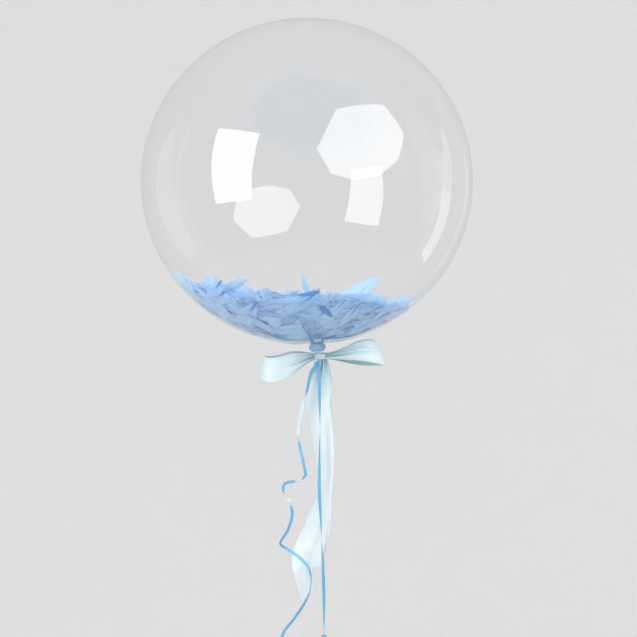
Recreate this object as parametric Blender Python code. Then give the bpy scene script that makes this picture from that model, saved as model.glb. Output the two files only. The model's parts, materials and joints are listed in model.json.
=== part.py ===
"""Clear bubble balloon: a ball of clear film with a gathered neck, a narrow ribbon bound round the
neck, a wide satin ribbon tied in a bow, and two narrow curling ribbons, one of them the tether.

Metres, +Z up, seen from -Y. The origin is in the eye of the loop at the foot of the tether, where
the balloon is tied down. The ball is sealed, so it is a solid.
"""

import math

import bmesh
import bpy
from mathutils import Matrix, Vector

# Ball of film and its gathered neck, which leans with the ball's axis
BALL_DIAMETER = 0.510
BALL_HEIGHT = 0.500
BALL_SEGMENTS = 48
RING_STEP = math.radians(5)
ROUND_TO = math.radians(170)
DIMPLE_DEPTH = 0.0045
DIMPLE_STEPS = 6
PLEATS = 12
PLEAT_DEPTH = 0.0014
PLEAT_START = 0.010
PLEAT_END = 0.105
STEM_RADIUS = 0.0045
STEM_FILLET = 0.0040
STEM_TIP = 0.0008
STEM_REACH = 0.0030  # how far the stem runs past the middle of the bow's band
NECK_HEIGHT = 0.4690
NECK_SIDEWAYS = -0.0108
LEAN = math.radians(3.6)

# Narrow ribbon bound round the neck under the ball
FIT_GAP = 0.0004
BINDING_DROP = 0.0012
BINDING_RADIUS = 0.0138
BINDING_HEIGHT = 0.0150
BINDING_TURNS = 3
BINDING_GROOVE = 0.0005
BINDING_SEGMENTS = 28
BINDING_SIDES = 14

# Wide satin ribbon: a band round the neck, and the knot in front of it
SATIN_WIDTH = 0.038
SATIN_THICKNESS = 0.0008
SATIN_CUP = 0.0018
BAND_HEIGHT = 0.0080
BAND_WALL = 0.0015
KNOT_WIDTH = 0.0164
KNOT_DEPTH = 0.0130
KNOT_HEIGHT = 0.0118
KNOT_SIDEWAYS = 0.0032
KNOT_SINK = 0.0010  # how deep the band sits in the back of the knot
KNOT_FOLDS = 3
KNOT_FOLD_SHARE = 0.03  # how deep the folds cut in
KNOT_TAPER_SHARE = 0.05  # how much slimmer the ends are
KNOT_SQUARENESS = 0.65  # power of the section's cosine: 1 is an oval
KNOT_STATIONS = 13
KNOT_SIDES = 20

# Loops of the bow: reach from the knot, half the depth front to back, rise of the far end and of the
# front and the back leg, lean of the upper edge, and share of the reach where the ribbon has spread
GATHERED_WIDTH = 0.0085
GATHERED_THICKNESS = 0.0024
LOOP_START_SHARE = 0.02
LOOP_RISE_POWER = 1.6
LOOP_STATIONS = 30
LEFT_REACH = 0.0900
LEFT_DEPTH = 0.0190
LEFT_RISE = -0.0180
LEFT_FRONT_RISE = -0.0090
LEFT_BACK_RISE = -0.0020
LEFT_LEAN = math.radians(6)
LEFT_SPREAD_SHARE = 0.62
RIGHT_REACH = 0.0925
RIGHT_DEPTH = 0.0200
RIGHT_RISE = 0.0035
RIGHT_FRONT_RISE = 0.0075
RIGHT_BACK_RISE = -0.0010
RIGHT_LEAN = math.radians(20)
RIGHT_SPREAD_SHARE = 0.95

# Tails of the bow: drop below the knot, and place sideways and behind it. The turns are of the face
# to the left, in degrees, one for each row.
TAIL_GATHER = 0.0130
TAIL_FLARE = 0.048
TAIL_SLANT = 0.006
TAIL_STATIONS = 34
FRONT_TAIL = (
    (0.000, 0.0015, 0.0015),
    (0.012, 0.0050, 0.0030),
    (0.042, 0.0000, 0.0080),
    (0.075, -0.0030, 0.0130),
    (0.112, 0.0020, 0.0175),
    (0.143, 0.0058, 0.0210),
    (0.177, 0.0085, 0.0240),
    (0.217, 0.0093, 0.0260),
    (0.254, 0.0090, 0.0260),
    (0.291, 0.0025, 0.0260),
    (0.313, -0.0045, 0.0265),
    (0.330, -0.0055, 0.0270),
)
FRONT_TURNS = (0, 2, 6, 12, 22, 34, 50, 64, 66, 62, 54, 48)
BACK_TAIL = (
    (0.000, 0.0020, 0.0046),
    (0.012, 0.0022, 0.0078),
    (0.042, -0.0015, 0.0180),
    (0.075, -0.0015, 0.0270),
    (0.112, 0.0030, 0.0360),
    (0.143, 0.0055, 0.0440),
    (0.177, 0.0080, 0.0520),
    (0.217, 0.0075, 0.0600),
    (0.240, -0.0010, 0.0630),
    (0.258, -0.0100, 0.0630),
    (0.275, -0.0150, 0.0600),
    (0.291, -0.0195, 0.0570),
    (0.316, -0.0245, 0.0530),
    (0.347, -0.0250, 0.0510),
    (0.378, -0.0190, 0.0520),
)
BACK_TURNS = (0, 2, 6, 14, 28, 42, 54, 60, 57, 57, 50, 34, 2, -42, -62)

# Narrow curling ribbon: its width is the diameter of the round cord that stands for it
CURLING_WIDTH = 0.0050
CORD_STEP = 0.0130
CORD_GAP = 0.0008
CORD_SAMPLES = 2000

# Tether: share of the way down, and place sideways and in front of a straight line to the loop
TETHER_START = Vector((-0.0026, -0.0018))
TETHER_ROUTE = (
    (0.00, 0.0000, 0.0000),
    (0.03, 0.0000, 0.0000),
    (0.10, 0.0008, 0.0000),
    (0.25, 0.0004, 0.0005),
    (0.36, -0.0014, 0.0008),
    (0.47, -0.0026, 0.0008),
    (0.58, -0.0014, 0.0005),
    (0.69, -0.0002, 0.0002),
    (0.83, 0.0011, 0.0000),
    (0.95, 0.0003, 0.0000),
    (1.00, 0.0000, 0.0000),
)

# Curled ribbon, from the middle of the knot: sideways, back and up
CURL_START = Vector((-0.0068, -0.0050))
CURL_DROP = 0.0016  # how much lower it starts, clear of the left loop
CURL_ROUTE = (
    (-0.0076, -0.0052, -0.0150),
    (-0.0145, -0.0045, -0.0270),
    (-0.0200, -0.0010, -0.0530),
    (-0.0262, 0.0020, -0.0750),
    (-0.0320, 0.0040, -0.1000),
    (-0.0335, 0.0030, -0.1200),
    (-0.0310, -0.0010, -0.1390),
    (-0.0255, -0.0060, -0.1640),
    (-0.0224, -0.0060, -0.1815),
    (-0.0300, 0.0050, -0.1925),
    (-0.0415, 0.0120, -0.1945),
    (-0.0540, 0.0110, -0.1975),
    (-0.0566, 0.0020, -0.2075),
    (-0.0480, -0.0040, -0.2190),
    (-0.0435, -0.0060, -0.2340),
    (-0.0430, -0.0060, -0.2460),
    (-0.0490, -0.0050, -0.2660),
    (-0.0590, 0.0010, -0.2830),
    (-0.0600, 0.0100, -0.2920),
    (-0.0490, 0.0140, -0.3000),
    (-0.0340, 0.0120, -0.3100),
    (-0.0205, 0.0080, -0.3225),
    (-0.0145, 0.0040, -0.3360),
    (-0.0140, 0.0000, -0.3500),
    (-0.0165, -0.0030, -0.3640),
    (-0.0250, -0.0050, -0.3810),
    (-0.0400, -0.0050, -0.4030),
    (-0.0540, -0.0030, -0.4210),
    (-0.0600, 0.0000, -0.4360),
    (-0.0615, 0.0020, -0.4430),
)

# Loop tied at the tether's foot, with the origin in its eye
END_KNOT_WIDTH = 0.0085
END_KNOT_HEIGHT = 0.0080
END_KNOT_RINGS = 7
END_KNOT_TAPER_SHARE = 0.4
END_LOOP_WIDTH = 0.0110
END_LOOP_HEIGHT = 0.0160
END_LOOP_STRAND = 0.0022
END_LOOP_STEPS = 24
END_SIDES = 10
END_TUCK = 0.0015  # how far the loop's strand runs into its knot

SMOOTH_ANGLE = math.radians(40)

# Colour, roughness and alpha
FILM = ((0.86, 0.90, 0.92), 0.04, 0.25)
BLUE = ((0.16, 0.42, 0.70), 0.30, 1.0)
SATIN = ((0.60, 0.80, 0.83), 0.32, 1.0)


def clear_scene():
    for obj in list(bpy.data.objects):
        bpy.data.objects.remove(obj)


def material(name, colour, roughness, alpha):
    look = bpy.data.materials.new(name)
    look.use_nodes = True
    shader = look.node_tree.nodes["Principled BSDF"]
    shader.inputs["Base Color"].default_value = (*colour, 1.0)
    shader.inputs["Roughness"].default_value = roughness
    shader.inputs["Metallic"].default_value = 0.0
    shader.inputs["Alpha"].default_value = alpha
    return look


def smoothstep(value):
    value = min(max(value, 0.0), 1.0)
    return value * value * (3 - 2 * value)


def skin(name, rings, look, parent=None, closed=False, tip=None):
    """An object skinned over rings of points. It is closed in a circle, or capped at both ends.
    A tip is one point in place of the first cap."""
    mesh = bmesh.new()
    loops = [[mesh.verts.new(point) for point in ring] for ring in rings]
    followers = loops[1:] + (loops[:1] if closed else [])
    sides = len(loops[0])
    for one, other in zip(loops, followers):
        for i in range(sides):
            j = (i + 1) % sides
            mesh.faces.new((one[i], one[j], other[j], other[i]))
    if not closed:
        mesh.faces.new(reversed(loops[-1]))
        if tip is None:
            mesh.faces.new(loops[0])
        else:
            point = mesh.verts.new(tip)
            for i in range(sides):
                mesh.faces.new((loops[0][(i + 1) % sides], loops[0][i], point))
    bmesh.ops.recalc_face_normals(mesh, faces=mesh.faces)
    data = bpy.data.meshes.new(name)
    mesh.to_mesh(data)
    mesh.free()
    data.shade_smooth()
    data.set_sharp_from_angle(angle=SMOOTH_ANGLE)
    data.materials.append(look)
    obj = bpy.data.objects.new(name, data)
    obj.parent = parent
    bpy.context.scene.collection.objects.link(obj)
    return obj


def fuse(obj, other):
    """Joins another object to this one, as one body."""
    other.hide_render = True
    other.display_type = "WIRE"
    modifier = obj.modifiers.new(other.name, "BOOLEAN")
    modifier.operation = "UNION"
    modifier.solver = "EXACT"
    modifier.object = other


def spline(rows, share):
    """The value at a share of the way along a smooth curve through rows of numbers."""
    place = share * (len(rows) - 1)
    k = min(int(place), len(rows) - 2)
    t = place - k
    before = rows[max(k - 1, 0)]
    after = rows[min(k + 2, len(rows) - 1)]
    columns = zip(before, rows[k], rows[k + 1], after)
    return [
        b
        + (c - a) * t / 2
        + (2 * a - 5 * b + 4 * c - d) * t**2 / 2
        + (3 * b - a - 3 * c + d) * t**3 / 2
        for a, b, c, d in columns
    ]


def even_points(rows, spacing):
    """Points at an even spacing on the smooth curve through the rows."""
    fine = [Vector(spline(rows, i / CORD_SAMPLES)) for i in range(CORD_SAMPLES + 1)]
    lengths = [0.0]
    for one, other in zip(fine, fine[1:]):
        lengths.append(lengths[-1] + (other - one).length)
    steps = round(lengths[-1] / spacing)
    points = []
    k = 0
    for i in range(steps + 1):
        while lengths[k] < lengths[-1] * i / steps - 1e-9:
            k += 1
        points.append(fine[k])
    return points


def ball_profile():
    """Radius and height of the film from the crown to the neck, over the neck's middle."""
    centre = BALL_HEIGHT / 2 - DIMPLE_DEPTH
    count = round(ROUND_TO / RING_STEP)
    profile = []
    for i in range(1, count + 1):
        angle = ROUND_TO * i / count
        profile.append((BALL_DIAMETER / 2 * math.sin(angle), centre + BALL_HEIGHT / 2 * math.cos(angle)))
    start = Vector(profile[-1])
    run = Vector((BALL_DIAMETER * math.cos(ROUND_TO), -BALL_HEIGHT * math.sin(ROUND_TO))).normalized()
    stop = Vector((STEM_RADIUS + STEM_FILLET, 0.0))
    reach = (start.x - stop.x) / 2
    hand_out = start + run * reach
    hand_in = stop + Vector((reach / 2, -DIMPLE_DEPTH / 3))
    for i in range(1, DIMPLE_STEPS + 1):
        t = i / DIMPLE_STEPS
        s = 1 - t
        point = start * s**3 + hand_out * 3 * s * s * t + hand_in * 3 * s * t * t + stop * t**3
        profile.append((point.x, point.y))
    for angle in (math.radians(30), math.radians(60), math.radians(90)):
        radius = STEM_RADIUS + STEM_FILLET * (1 - math.sin(angle))
        profile.append((radius, -STEM_FILLET * (1 - math.cos(angle))))
    return profile


def pleat(radius, angle):
    """How far the film sinks between the pleats that run out from the neck."""
    rise = smoothstep((radius - PLEAT_START) / (2 * PLEAT_START))
    fall = 1 - smoothstep((radius - 3 * PLEAT_START) / (PLEAT_END - 3 * PLEAT_START))
    return PLEAT_DEPTH * rise * fall * (1 - math.cos(PLEATS * angle)) / 2


def bubble(neck, look):
    rings = []
    for radius, height in ball_profile():
        ring = []
        for i in range(BALL_SEGMENTS):
            angle = 2 * math.pi * i / BALL_SEGMENTS
            lift = pleat(radius, angle) if height < DIMPLE_DEPTH + PLEAT_END else 0.0
            ring.append((radius * math.cos(angle), radius * math.sin(angle), height + lift))
        rings.append(ring)
    end = -(band_drop() + STEM_REACH)
    for radius, height in ((STEM_RADIUS, end + STEM_TIP), (STEM_RADIUS - STEM_TIP, end)):
        angles = [2 * math.pi * i / BALL_SEGMENTS for i in range(BALL_SEGMENTS)]
        rings.append([(radius * math.cos(a), radius * math.sin(a), height) for a in angles])
    crown = (0.0, 0.0, BALL_HEIGHT - DIMPLE_DEPTH)
    skin("bubble", rings, look, neck, tip=crown)


def neck_tie(neck, look):
    """The binding: a few turns of ribbon round the neck, side by side."""
    inner = STEM_RADIUS + FIT_GAP
    middle = (inner + BINDING_RADIUS) / 2
    half = (BINDING_RADIUS - inner) / 2
    centre = -(BINDING_DROP + BINDING_HEIGHT / 2)
    rings = []
    for i in range(BINDING_SEGMENTS):
        around = 2 * math.pi * i / BINDING_SEGMENTS
        ring = []
        for k in range(BINDING_SIDES):
            angle = 2 * math.pi * k / BINDING_SIDES
            height = math.sin(angle)
            outer = max(math.cos(angle), 0.0)
            wave = math.cos(math.pi * BINDING_TURNS * (height + around / math.pi))
            radius = middle + half * math.cos(angle) - BINDING_GROOVE * outer * (1 + wave)
            place = (radius * math.cos(around), radius * math.sin(around))
            ring.append((*place, centre + BINDING_HEIGHT / 2 * height))
        rings.append(ring)
    skin("neck_tie", rings, look, neck, closed=True)


def band_drop():
    """How far below the neck's middle the bow is tied."""
    return BINDING_DROP + BINDING_HEIGHT + FIT_GAP + KNOT_HEIGHT / 2


def knot_place():
    """The middle of the bow's knot, in front of the band."""
    forward = STEM_RADIUS + FIT_GAP + BAND_WALL - KNOT_SINK + KNOT_DEPTH / 2
    frame = Matrix.Translation((NECK_SIDEWAYS, 0.0, NECK_HEIGHT)) @ Matrix.Rotation(-LEAN, 4, "Y")
    return frame @ Vector((KNOT_SIDEWAYS, -forward, -band_drop()))


def strip_section(centre, across, out, width, thickness, cup):
    """Eight points round a ribbon: its front edge to edge, then its back."""
    front = []
    for s in (-1, -1 / 3, 1 / 3, 1):
        lift = cup * (1 - s * s) + thickness / 2
        front.append(centre + across * s * width / 2 + out * lift)
    back = [point - out * thickness for point in reversed(front)]
    return front + back


def gathers(share, gathered_width):
    """Width, thickness and cup of the ribbon where it has spread by this share."""
    spread = smoothstep(share)
    width = gathered_width + (SATIN_WIDTH - gathered_width) * spread
    thickness = GATHERED_THICKNESS + (SATIN_THICKNESS - GATHERED_THICKNESS) * spread
    return width, thickness, SATIN_CUP * spread


def knot(bow, look):
    """The turn of ribbon that holds the bow, creased by its folds."""
    rings = []
    for i in range(KNOT_STATIONS):
        along = 2 * i / (KNOT_STATIONS - 1) - 1
        fold = (1 - math.cos(math.pi * KNOT_FOLDS * (along + 1))) / 2
        size = 1 - KNOT_TAPER_SHARE * along * along - KNOT_FOLD_SHARE * fold
        ring = []
        for k in range(KNOT_SIDES):
            angle = 2 * math.pi * k / KNOT_SIDES
            y = math.copysign(abs(math.cos(angle)) ** KNOT_SQUARENESS, math.cos(angle))
            z = math.copysign(abs(math.sin(angle)) ** KNOT_SQUARENESS, math.sin(angle))
            ring.append((KNOT_WIDTH / 2 * along, KNOT_DEPTH / 2 * size * y, KNOT_HEIGHT / 2 * size * z))
        rings.append(ring)
    return skin("satin_bow", rings, look, bow)


def band(neck, look):
    """The ribbon's turn round the neck, behind the knot."""
    inner = STEM_RADIUS + FIT_GAP
    outer = inner + BAND_WALL
    top = BAND_HEIGHT / 2 - band_drop()
    rings = []
    for i in range(BINDING_SEGMENTS):
        angle = 2 * math.pi * i / BINDING_SEGMENTS
        section = ((inner, top), (outer, top), (outer, top - BAND_HEIGHT), (inner, top - BAND_HEIGHT))
        rings.append([(radius * math.cos(angle), radius * math.sin(angle), z) for radius, z in section])
    return skin("bow_band", rings, look, neck, closed=True)


def bow_loop(name, side, shape, bow, look):
    reach, depth, rise, front_rise, back_rise, far_lean, spread_share = shape
    rings = []
    for i in range(LOOP_STATIONS):
        turn = LOOP_START_SHARE + (1 - 2 * LOOP_START_SHARE) * i / (LOOP_STATIONS - 1)
        out = math.sin(math.pi * turn)
        swing = math.sin(2 * math.pi * turn)
        leg = (front_rise if swing > 0 else back_rise) * swing * swing
        centre = Vector((side * reach * out, -depth * swing, rise * out**LOOP_RISE_POWER + leg))
        run_x = side * reach * math.cos(math.pi * turn)
        run_y = -2 * depth * math.cos(2 * math.pi * turn)
        inward = Vector((-run_y, run_x, 0.0)).normalized() * side
        lean = far_lean * out
        across = Vector((0.0, 0.0, math.cos(lean))) + inward * math.sin(lean)
        face = Vector((0.0, 0.0, math.sin(lean))) - inward * math.cos(lean)
        section = gathers(out / spread_share, GATHERED_WIDTH)
        rings.append(strip_section(centre, across, face, *section))
    return skin(name, rings, look, bow)


def bow_tail(name, places, turns, bow, look):
    rows = [(*place, turn) for place, turn in zip(places, turns)]
    rings = []
    for i in range(TAIL_STATIONS):
        drop, sideways, back, turn = spline(rows, i / (TAIL_STATIONS - 1))
        across = Vector((math.cos(math.radians(turn)), -math.sin(math.radians(turn)), 0.0))
        face = across.cross(Vector((0.0, 0.0, 1.0)))
        centre = Vector((sideways, back, -drop))
        ring = strip_section(centre, across, face, *gathers(drop / TAIL_FLARE, TAIL_GATHER))
        slant = TAIL_SLANT * smoothstep(1 - (rows[-1][0] - drop) / (8 * TAIL_SLANT))
        for point in ring:
            point.z += slant * (point - centre).dot(across) / (SATIN_WIDTH / 2)
        rings.append(ring)
    return skin(name, rings, look, bow)


def cord(name, points, look):
    """A round cord through the points, with flat ends."""
    curve = bpy.data.curves.new(name, "CURVE")
    curve.dimensions = "3D"
    curve.bevel_depth = CURLING_WIDTH / 2
    curve.bevel_resolution = 2
    curve.use_fill_caps = True
    line = curve.splines.new("POLY")
    line.points.add(len(points) - 1)
    for point, place in zip(line.points, points):
        point.co = (*place, 1.0)
    curve.materials.append(look)
    obj = bpy.data.objects.new(name, curve)
    bpy.context.scene.collection.objects.link(obj)


def exit_height():
    """Height of a ribbon's upper end against the knot's middle, just under the knot."""
    return -(KNOT_HEIGHT / 2 + CORD_GAP)


def tether(look):
    start = knot_place() + Vector((*TETHER_START, exit_height()))
    stop = Vector((0.0, 0.0, END_LOOP_HEIGHT / 2 + END_KNOT_HEIGHT + CORD_GAP))
    rows = []
    for share, sideways, forward in TETHER_ROUTE:
        rows.append(start.lerp(stop, share) + Vector((sideways, -forward, 0.0)))
    cord("tether_ribbon", even_points(rows, CORD_STEP), look)


def curl(look):
    rows = [(*CURL_START, exit_height() - CURL_DROP), *CURL_ROUTE]
    middle = knot_place()
    points = [middle + point for point in even_points(rows, CORD_STEP)]
    cord("curled_ribbon", points, look)


def tether_loop(look):
    """The knot at the tether's foot and the loop under it."""
    knot_rings = []
    for i in range(END_KNOT_RINGS):
        along = 2 * i / (END_KNOT_RINGS - 1) - 1
        radius = END_KNOT_WIDTH / 2 * (1 - END_KNOT_TAPER_SHARE * along * along)
        height = END_LOOP_HEIGHT / 2 + END_KNOT_HEIGHT / 2 * (1 - along)
        angles = [2 * math.pi * k / END_SIDES for k in range(END_SIDES)]
        knot_rings.append([(radius * math.cos(a), radius * math.sin(a), height) for a in angles])
    obj = skin("tether_loop", knot_rings, look)
    half_width = (END_LOOP_WIDTH - END_LOOP_STRAND) / 2
    half_height = END_LOOP_HEIGHT / 2 + END_TUCK
    rings = []
    for i in range(END_LOOP_STEPS):
        angle = 2 * math.pi * i / END_LOOP_STEPS
        centre = Vector((half_width * math.sin(angle), 0.0, half_height * math.cos(angle)))
        outward = Vector((half_height * math.sin(angle), 0.0, half_width * math.cos(angle))).normalized()
        ring = []
        for k in range(END_SIDES):
            around = 2 * math.pi * k / END_SIDES
            offset = outward * math.cos(around) + Vector((0.0, math.sin(around), 0.0))
            ring.append(centre + offset * END_LOOP_STRAND / 2)
        rings.append(ring)
    fuse(obj, skin("loop_strand", rings, look, closed=True))


def main():
    clear_scene()
    film = material("film", *FILM)
    blue = material("curling_ribbon", *BLUE)
    satin = material("satin_ribbon", *SATIN)
    neck = bpy.data.objects.new("neck", None)
    neck.location = (NECK_SIDEWAYS, 0.0, NECK_HEIGHT)
    neck.rotation_euler = (0.0, -LEAN, 0.0)
    bow = bpy.data.objects.new("bow", None)
    bow.location = knot_place()
    for empty in (neck, bow):
        bpy.context.scene.collection.objects.link(empty)
    bubble(neck, film)
    neck_tie(neck, blue)
    left = (LEFT_REACH, LEFT_DEPTH, LEFT_RISE, LEFT_FRONT_RISE, LEFT_BACK_RISE)
    right = (RIGHT_REACH, RIGHT_DEPTH, RIGHT_RISE, RIGHT_FRONT_RISE, RIGHT_BACK_RISE)
    tied = knot(bow, satin)
    fuse(tied, band(neck, satin))
    fuse(tied, bow_loop("left_loop", -1, (*left, LEFT_LEAN, LEFT_SPREAD_SHARE), bow, satin))
    fuse(tied, bow_loop("right_loop", 1, (*right, RIGHT_LEAN, RIGHT_SPREAD_SHARE), bow, satin))
    fuse(tied, bow_tail("front_tail", FRONT_TAIL, FRONT_TURNS, bow, satin))
    fuse(tied, bow_tail("back_tail", BACK_TAIL, BACK_TURNS, bow, satin))
    tether(blue)
    curl(blue)
    tether_loop(blue)


main()
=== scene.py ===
import json
import math

import bmesh
import bpy
import numpy as np
from mathutils import Matrix, Vector

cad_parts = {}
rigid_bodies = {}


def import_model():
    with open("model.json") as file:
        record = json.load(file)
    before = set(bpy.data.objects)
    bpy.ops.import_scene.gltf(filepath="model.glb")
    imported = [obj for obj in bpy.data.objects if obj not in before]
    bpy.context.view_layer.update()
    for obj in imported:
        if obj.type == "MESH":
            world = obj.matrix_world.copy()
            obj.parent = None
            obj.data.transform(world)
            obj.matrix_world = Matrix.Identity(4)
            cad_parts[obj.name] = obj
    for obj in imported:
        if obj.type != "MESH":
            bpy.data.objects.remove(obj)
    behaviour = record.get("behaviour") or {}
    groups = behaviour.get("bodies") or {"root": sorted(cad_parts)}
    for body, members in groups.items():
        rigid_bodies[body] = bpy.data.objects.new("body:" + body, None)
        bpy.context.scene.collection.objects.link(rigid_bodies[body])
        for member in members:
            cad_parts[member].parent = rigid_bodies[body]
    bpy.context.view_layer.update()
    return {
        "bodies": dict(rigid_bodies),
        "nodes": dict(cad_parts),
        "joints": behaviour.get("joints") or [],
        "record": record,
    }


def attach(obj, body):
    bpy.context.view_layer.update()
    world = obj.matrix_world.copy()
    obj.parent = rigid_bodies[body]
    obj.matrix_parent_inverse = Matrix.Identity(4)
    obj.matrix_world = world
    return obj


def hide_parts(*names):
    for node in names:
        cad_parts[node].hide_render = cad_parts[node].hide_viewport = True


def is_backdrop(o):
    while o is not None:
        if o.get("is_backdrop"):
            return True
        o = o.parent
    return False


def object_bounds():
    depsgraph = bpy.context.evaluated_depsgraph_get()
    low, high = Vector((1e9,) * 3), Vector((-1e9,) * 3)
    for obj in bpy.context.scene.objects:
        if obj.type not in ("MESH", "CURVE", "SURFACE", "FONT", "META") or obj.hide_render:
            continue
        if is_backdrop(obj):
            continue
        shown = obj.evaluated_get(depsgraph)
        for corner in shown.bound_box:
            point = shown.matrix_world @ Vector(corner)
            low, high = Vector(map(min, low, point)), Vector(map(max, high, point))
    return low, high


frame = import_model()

# Camera
# A level view of the front of the bow from 2.3 m away, with the whole ball in it, and the tether
# running out at the bottom.
lens = bpy.data.cameras.new("camera")
lens.lens = 85
lens.sensor_width = 36
lens.sensor_fit = "HORIZONTAL"
lens.clip_end = 60
camera = bpy.data.objects.new("camera", lens)
camera.location = (-0.0085, -2.324, 0.5044)
camera.rotation_euler = (math.radians(90), 0, 0)
bpy.context.scene.collection.objects.link(camera)
bpy.context.scene.camera = camera

# Tether
# Narrow blue curling ribbon, 5 mm wide, of glossy ribbed plastic. It is tied in under the bow's
# knot and pulled taut by the balloon's lift, with a slow twist that turns it edge-on in places.
KNOT_MIDDLE = Vector((-0.006193, -0.0119, 0.446745))
CURLING_WIDTH = 0.0050
CURLING_THICKNESS = 0.00022
CURLING_DOME = 0.00025  # rise of the middle of its face over its edges
CURLING_COLUMNS = (-1.0, -0.6, -0.2, 0.2, 0.6, 1.0)  # places across, from edge to edge
CURLING_STATIONS = 12  # between two points of a route
CURLING_BLUE = (0.085, 0.400, 0.670, 1.0)
CURLING_PALE = (0.330, 0.620, 0.810, 1.0)
CURLING_REVERSE = (0.640, 0.790, 0.840, 1.0)
RIBS = 9
SHARP_FROM = math.radians(50)  # angle between faces that shows as an edge

TETHER_TOP = KNOT_MIDDLE + Vector((-0.0026, -0.0018, -0.0067))
TETHER_FOOT = Vector((0.0, 0.0, 0.0168))
TETHER_ROUTE = (  # share of the way, place sideways and in front, and turn of the face in degrees
    (0.00, 0.0000, 0.0000, -15),
    (0.03, 0.0000, 0.0000, -5),
    (0.10, 0.0008, 0.0000, 15),
    (0.25, 0.0004, 0.0005, 92),
    (0.36, -0.0014, 0.0008, 125),
    (0.47, -0.0026, 0.0008, 182),
    (0.58, -0.0014, 0.0005, 235),
    (0.69, -0.0002, 0.0002, 292),
    (0.83, 0.0011, 0.0000, 365),
    (0.95, 0.0003, 0.0000, 425),
    (1.00, 0.0000, 0.0000, 450),
)


class Wire:
    """An output of a shader node. Arithmetic on it adds Math nodes."""

    def __init__(self, tree, socket=None):
        self.tree = tree
        self.socket = socket

    def node(self, kind, settings=None, inputs=None, output=0):
        """An output of a new node, with its settings and then its sockets filled in."""
        made = self.tree.nodes.new(kind)
        for key, value in (settings or {}).items():
            setattr(made, key, value)
        for key, value in (inputs or {}).items():
            if isinstance(value, Wire):
                self.tree.links.new(value.socket, made.inputs[key])
            else:
                made.inputs[key].default_value = value
        return Wire(self.tree, made.outputs[output])

    def math(self, operation, *values):
        return self.node("ShaderNodeMath", {"operation": operation}, dict(enumerate(values)))

    def __add__(self, other):
        return self.math("ADD", self, other)

    def __radd__(self, other):
        return self.math("ADD", other, self)

    def __sub__(self, other):
        return self.math("SUBTRACT", self, other)

    def __rsub__(self, other):
        return self.math("SUBTRACT", other, self)

    def __mul__(self, other):
        return self.math("MULTIPLY", self, other)

    def __rmul__(self, other):
        return self.math("MULTIPLY", other, self)

    def __pow__(self, other):
        return self.math("POWER", self, other)

    def sine(self):
        return self.math("SINE", self)

    def between(self, low, high, low_value=0.0, high_value=1.0):
        """This value's place from low to high, smoothly, as a value from low_value to high_value."""
        settings = {"interpolation_type": "SMOOTHSTEP"}
        values = {"Value": self, 1: low, 2: high, 3: low_value, 4: high_value}
        return self.node("ShaderNodeMapRange", settings, values)

    def blend(self, one, other):
        """A colour from one to the other by this value."""
        settings = {"data_type": "RGBA", "clamp_factor": True}
        return self.node("ShaderNodeMix", settings, {0: self, 6: one, 7: other}, 2)

    def noise(self, vector, scale, detail=2.0, distortion=0.0):
        """Noise with values about a half, over this vector."""
        inputs = {"Vector": vector, "Scale": scale, "Detail": detail, "Distortion": distortion}
        return self.node("ShaderNodeTexNoise", None, inputs)

    def vector(self, *parts):
        return self.node("ShaderNodeCombineXYZ", None, dict(enumerate(parts)))

    def bump(self, strength, distance, height):
        inputs = {"Strength": strength, "Distance": distance, "Height": height}
        return self.node("ShaderNodeBump", None, inputs)

    def mix(self, share, one, other):
        """A shader with this share of the other."""
        return self.node("ShaderNodeMixShader", None, {0: share, 1: one, 2: other})

    def axes(self):
        """The three parts of this vector."""
        split = self.node("ShaderNodeSeparateXYZ", None, {0: self}).socket.node
        return [Wire(self.tree, split.outputs[i]) for i in range(3)]


def new_look(name):
    """A material without nodes, and a wire to make them from."""
    look = bpy.data.materials.new(name)
    look.use_nodes = True
    look.node_tree.nodes.clear()
    return look, Wire(look.node_tree)


def finish_look(look, shader):
    """The material, with this shader on its surface."""
    surface = look.node_tree.nodes.new("ShaderNodeOutputMaterial").inputs["Surface"]
    look.node_tree.links.new(shader.socket, surface)
    return look


def thin_look(look, wires, share, body, glow):
    """The material of something thin, with this share of its light coming through from behind."""
    body = wires.node("ShaderNodeBsdfPrincipled", None, body)
    glow = wires.node("ShaderNodeBsdfTranslucent", None, glow)
    return finish_look(look, wires.mix(share, body, glow))


def add_piece(name, mesh, looks, smooth=True):
    """An object in the scene, made of a bmesh, with these materials."""
    data = bpy.data.meshes.new(name)
    mesh.to_mesh(data)
    mesh.free()
    if smooth:
        data.shade_smooth()
    for look in looks:
        data.materials.append(look)
    piece = bpy.data.objects.new(name, data)
    bpy.context.scene.collection.objects.link(piece)
    return piece


def through(rows, share):
    """The row at a share of the way along a smooth curve through rows of numbers."""
    place = share * (len(rows) - 1)
    k = min(int(place), len(rows) - 2)
    t = place - k
    a = rows[max(k - 1, 0)]
    b, c = rows[k], rows[k + 1]
    d = rows[min(k + 2, len(rows) - 1)]
    bend = (2 * a - 5 * b + 4 * c - d) * t**2 / 2 + (3 * b - a - 3 * c + d) * t**3 / 2
    return b + (c - a) * t / 2 + bend


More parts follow.
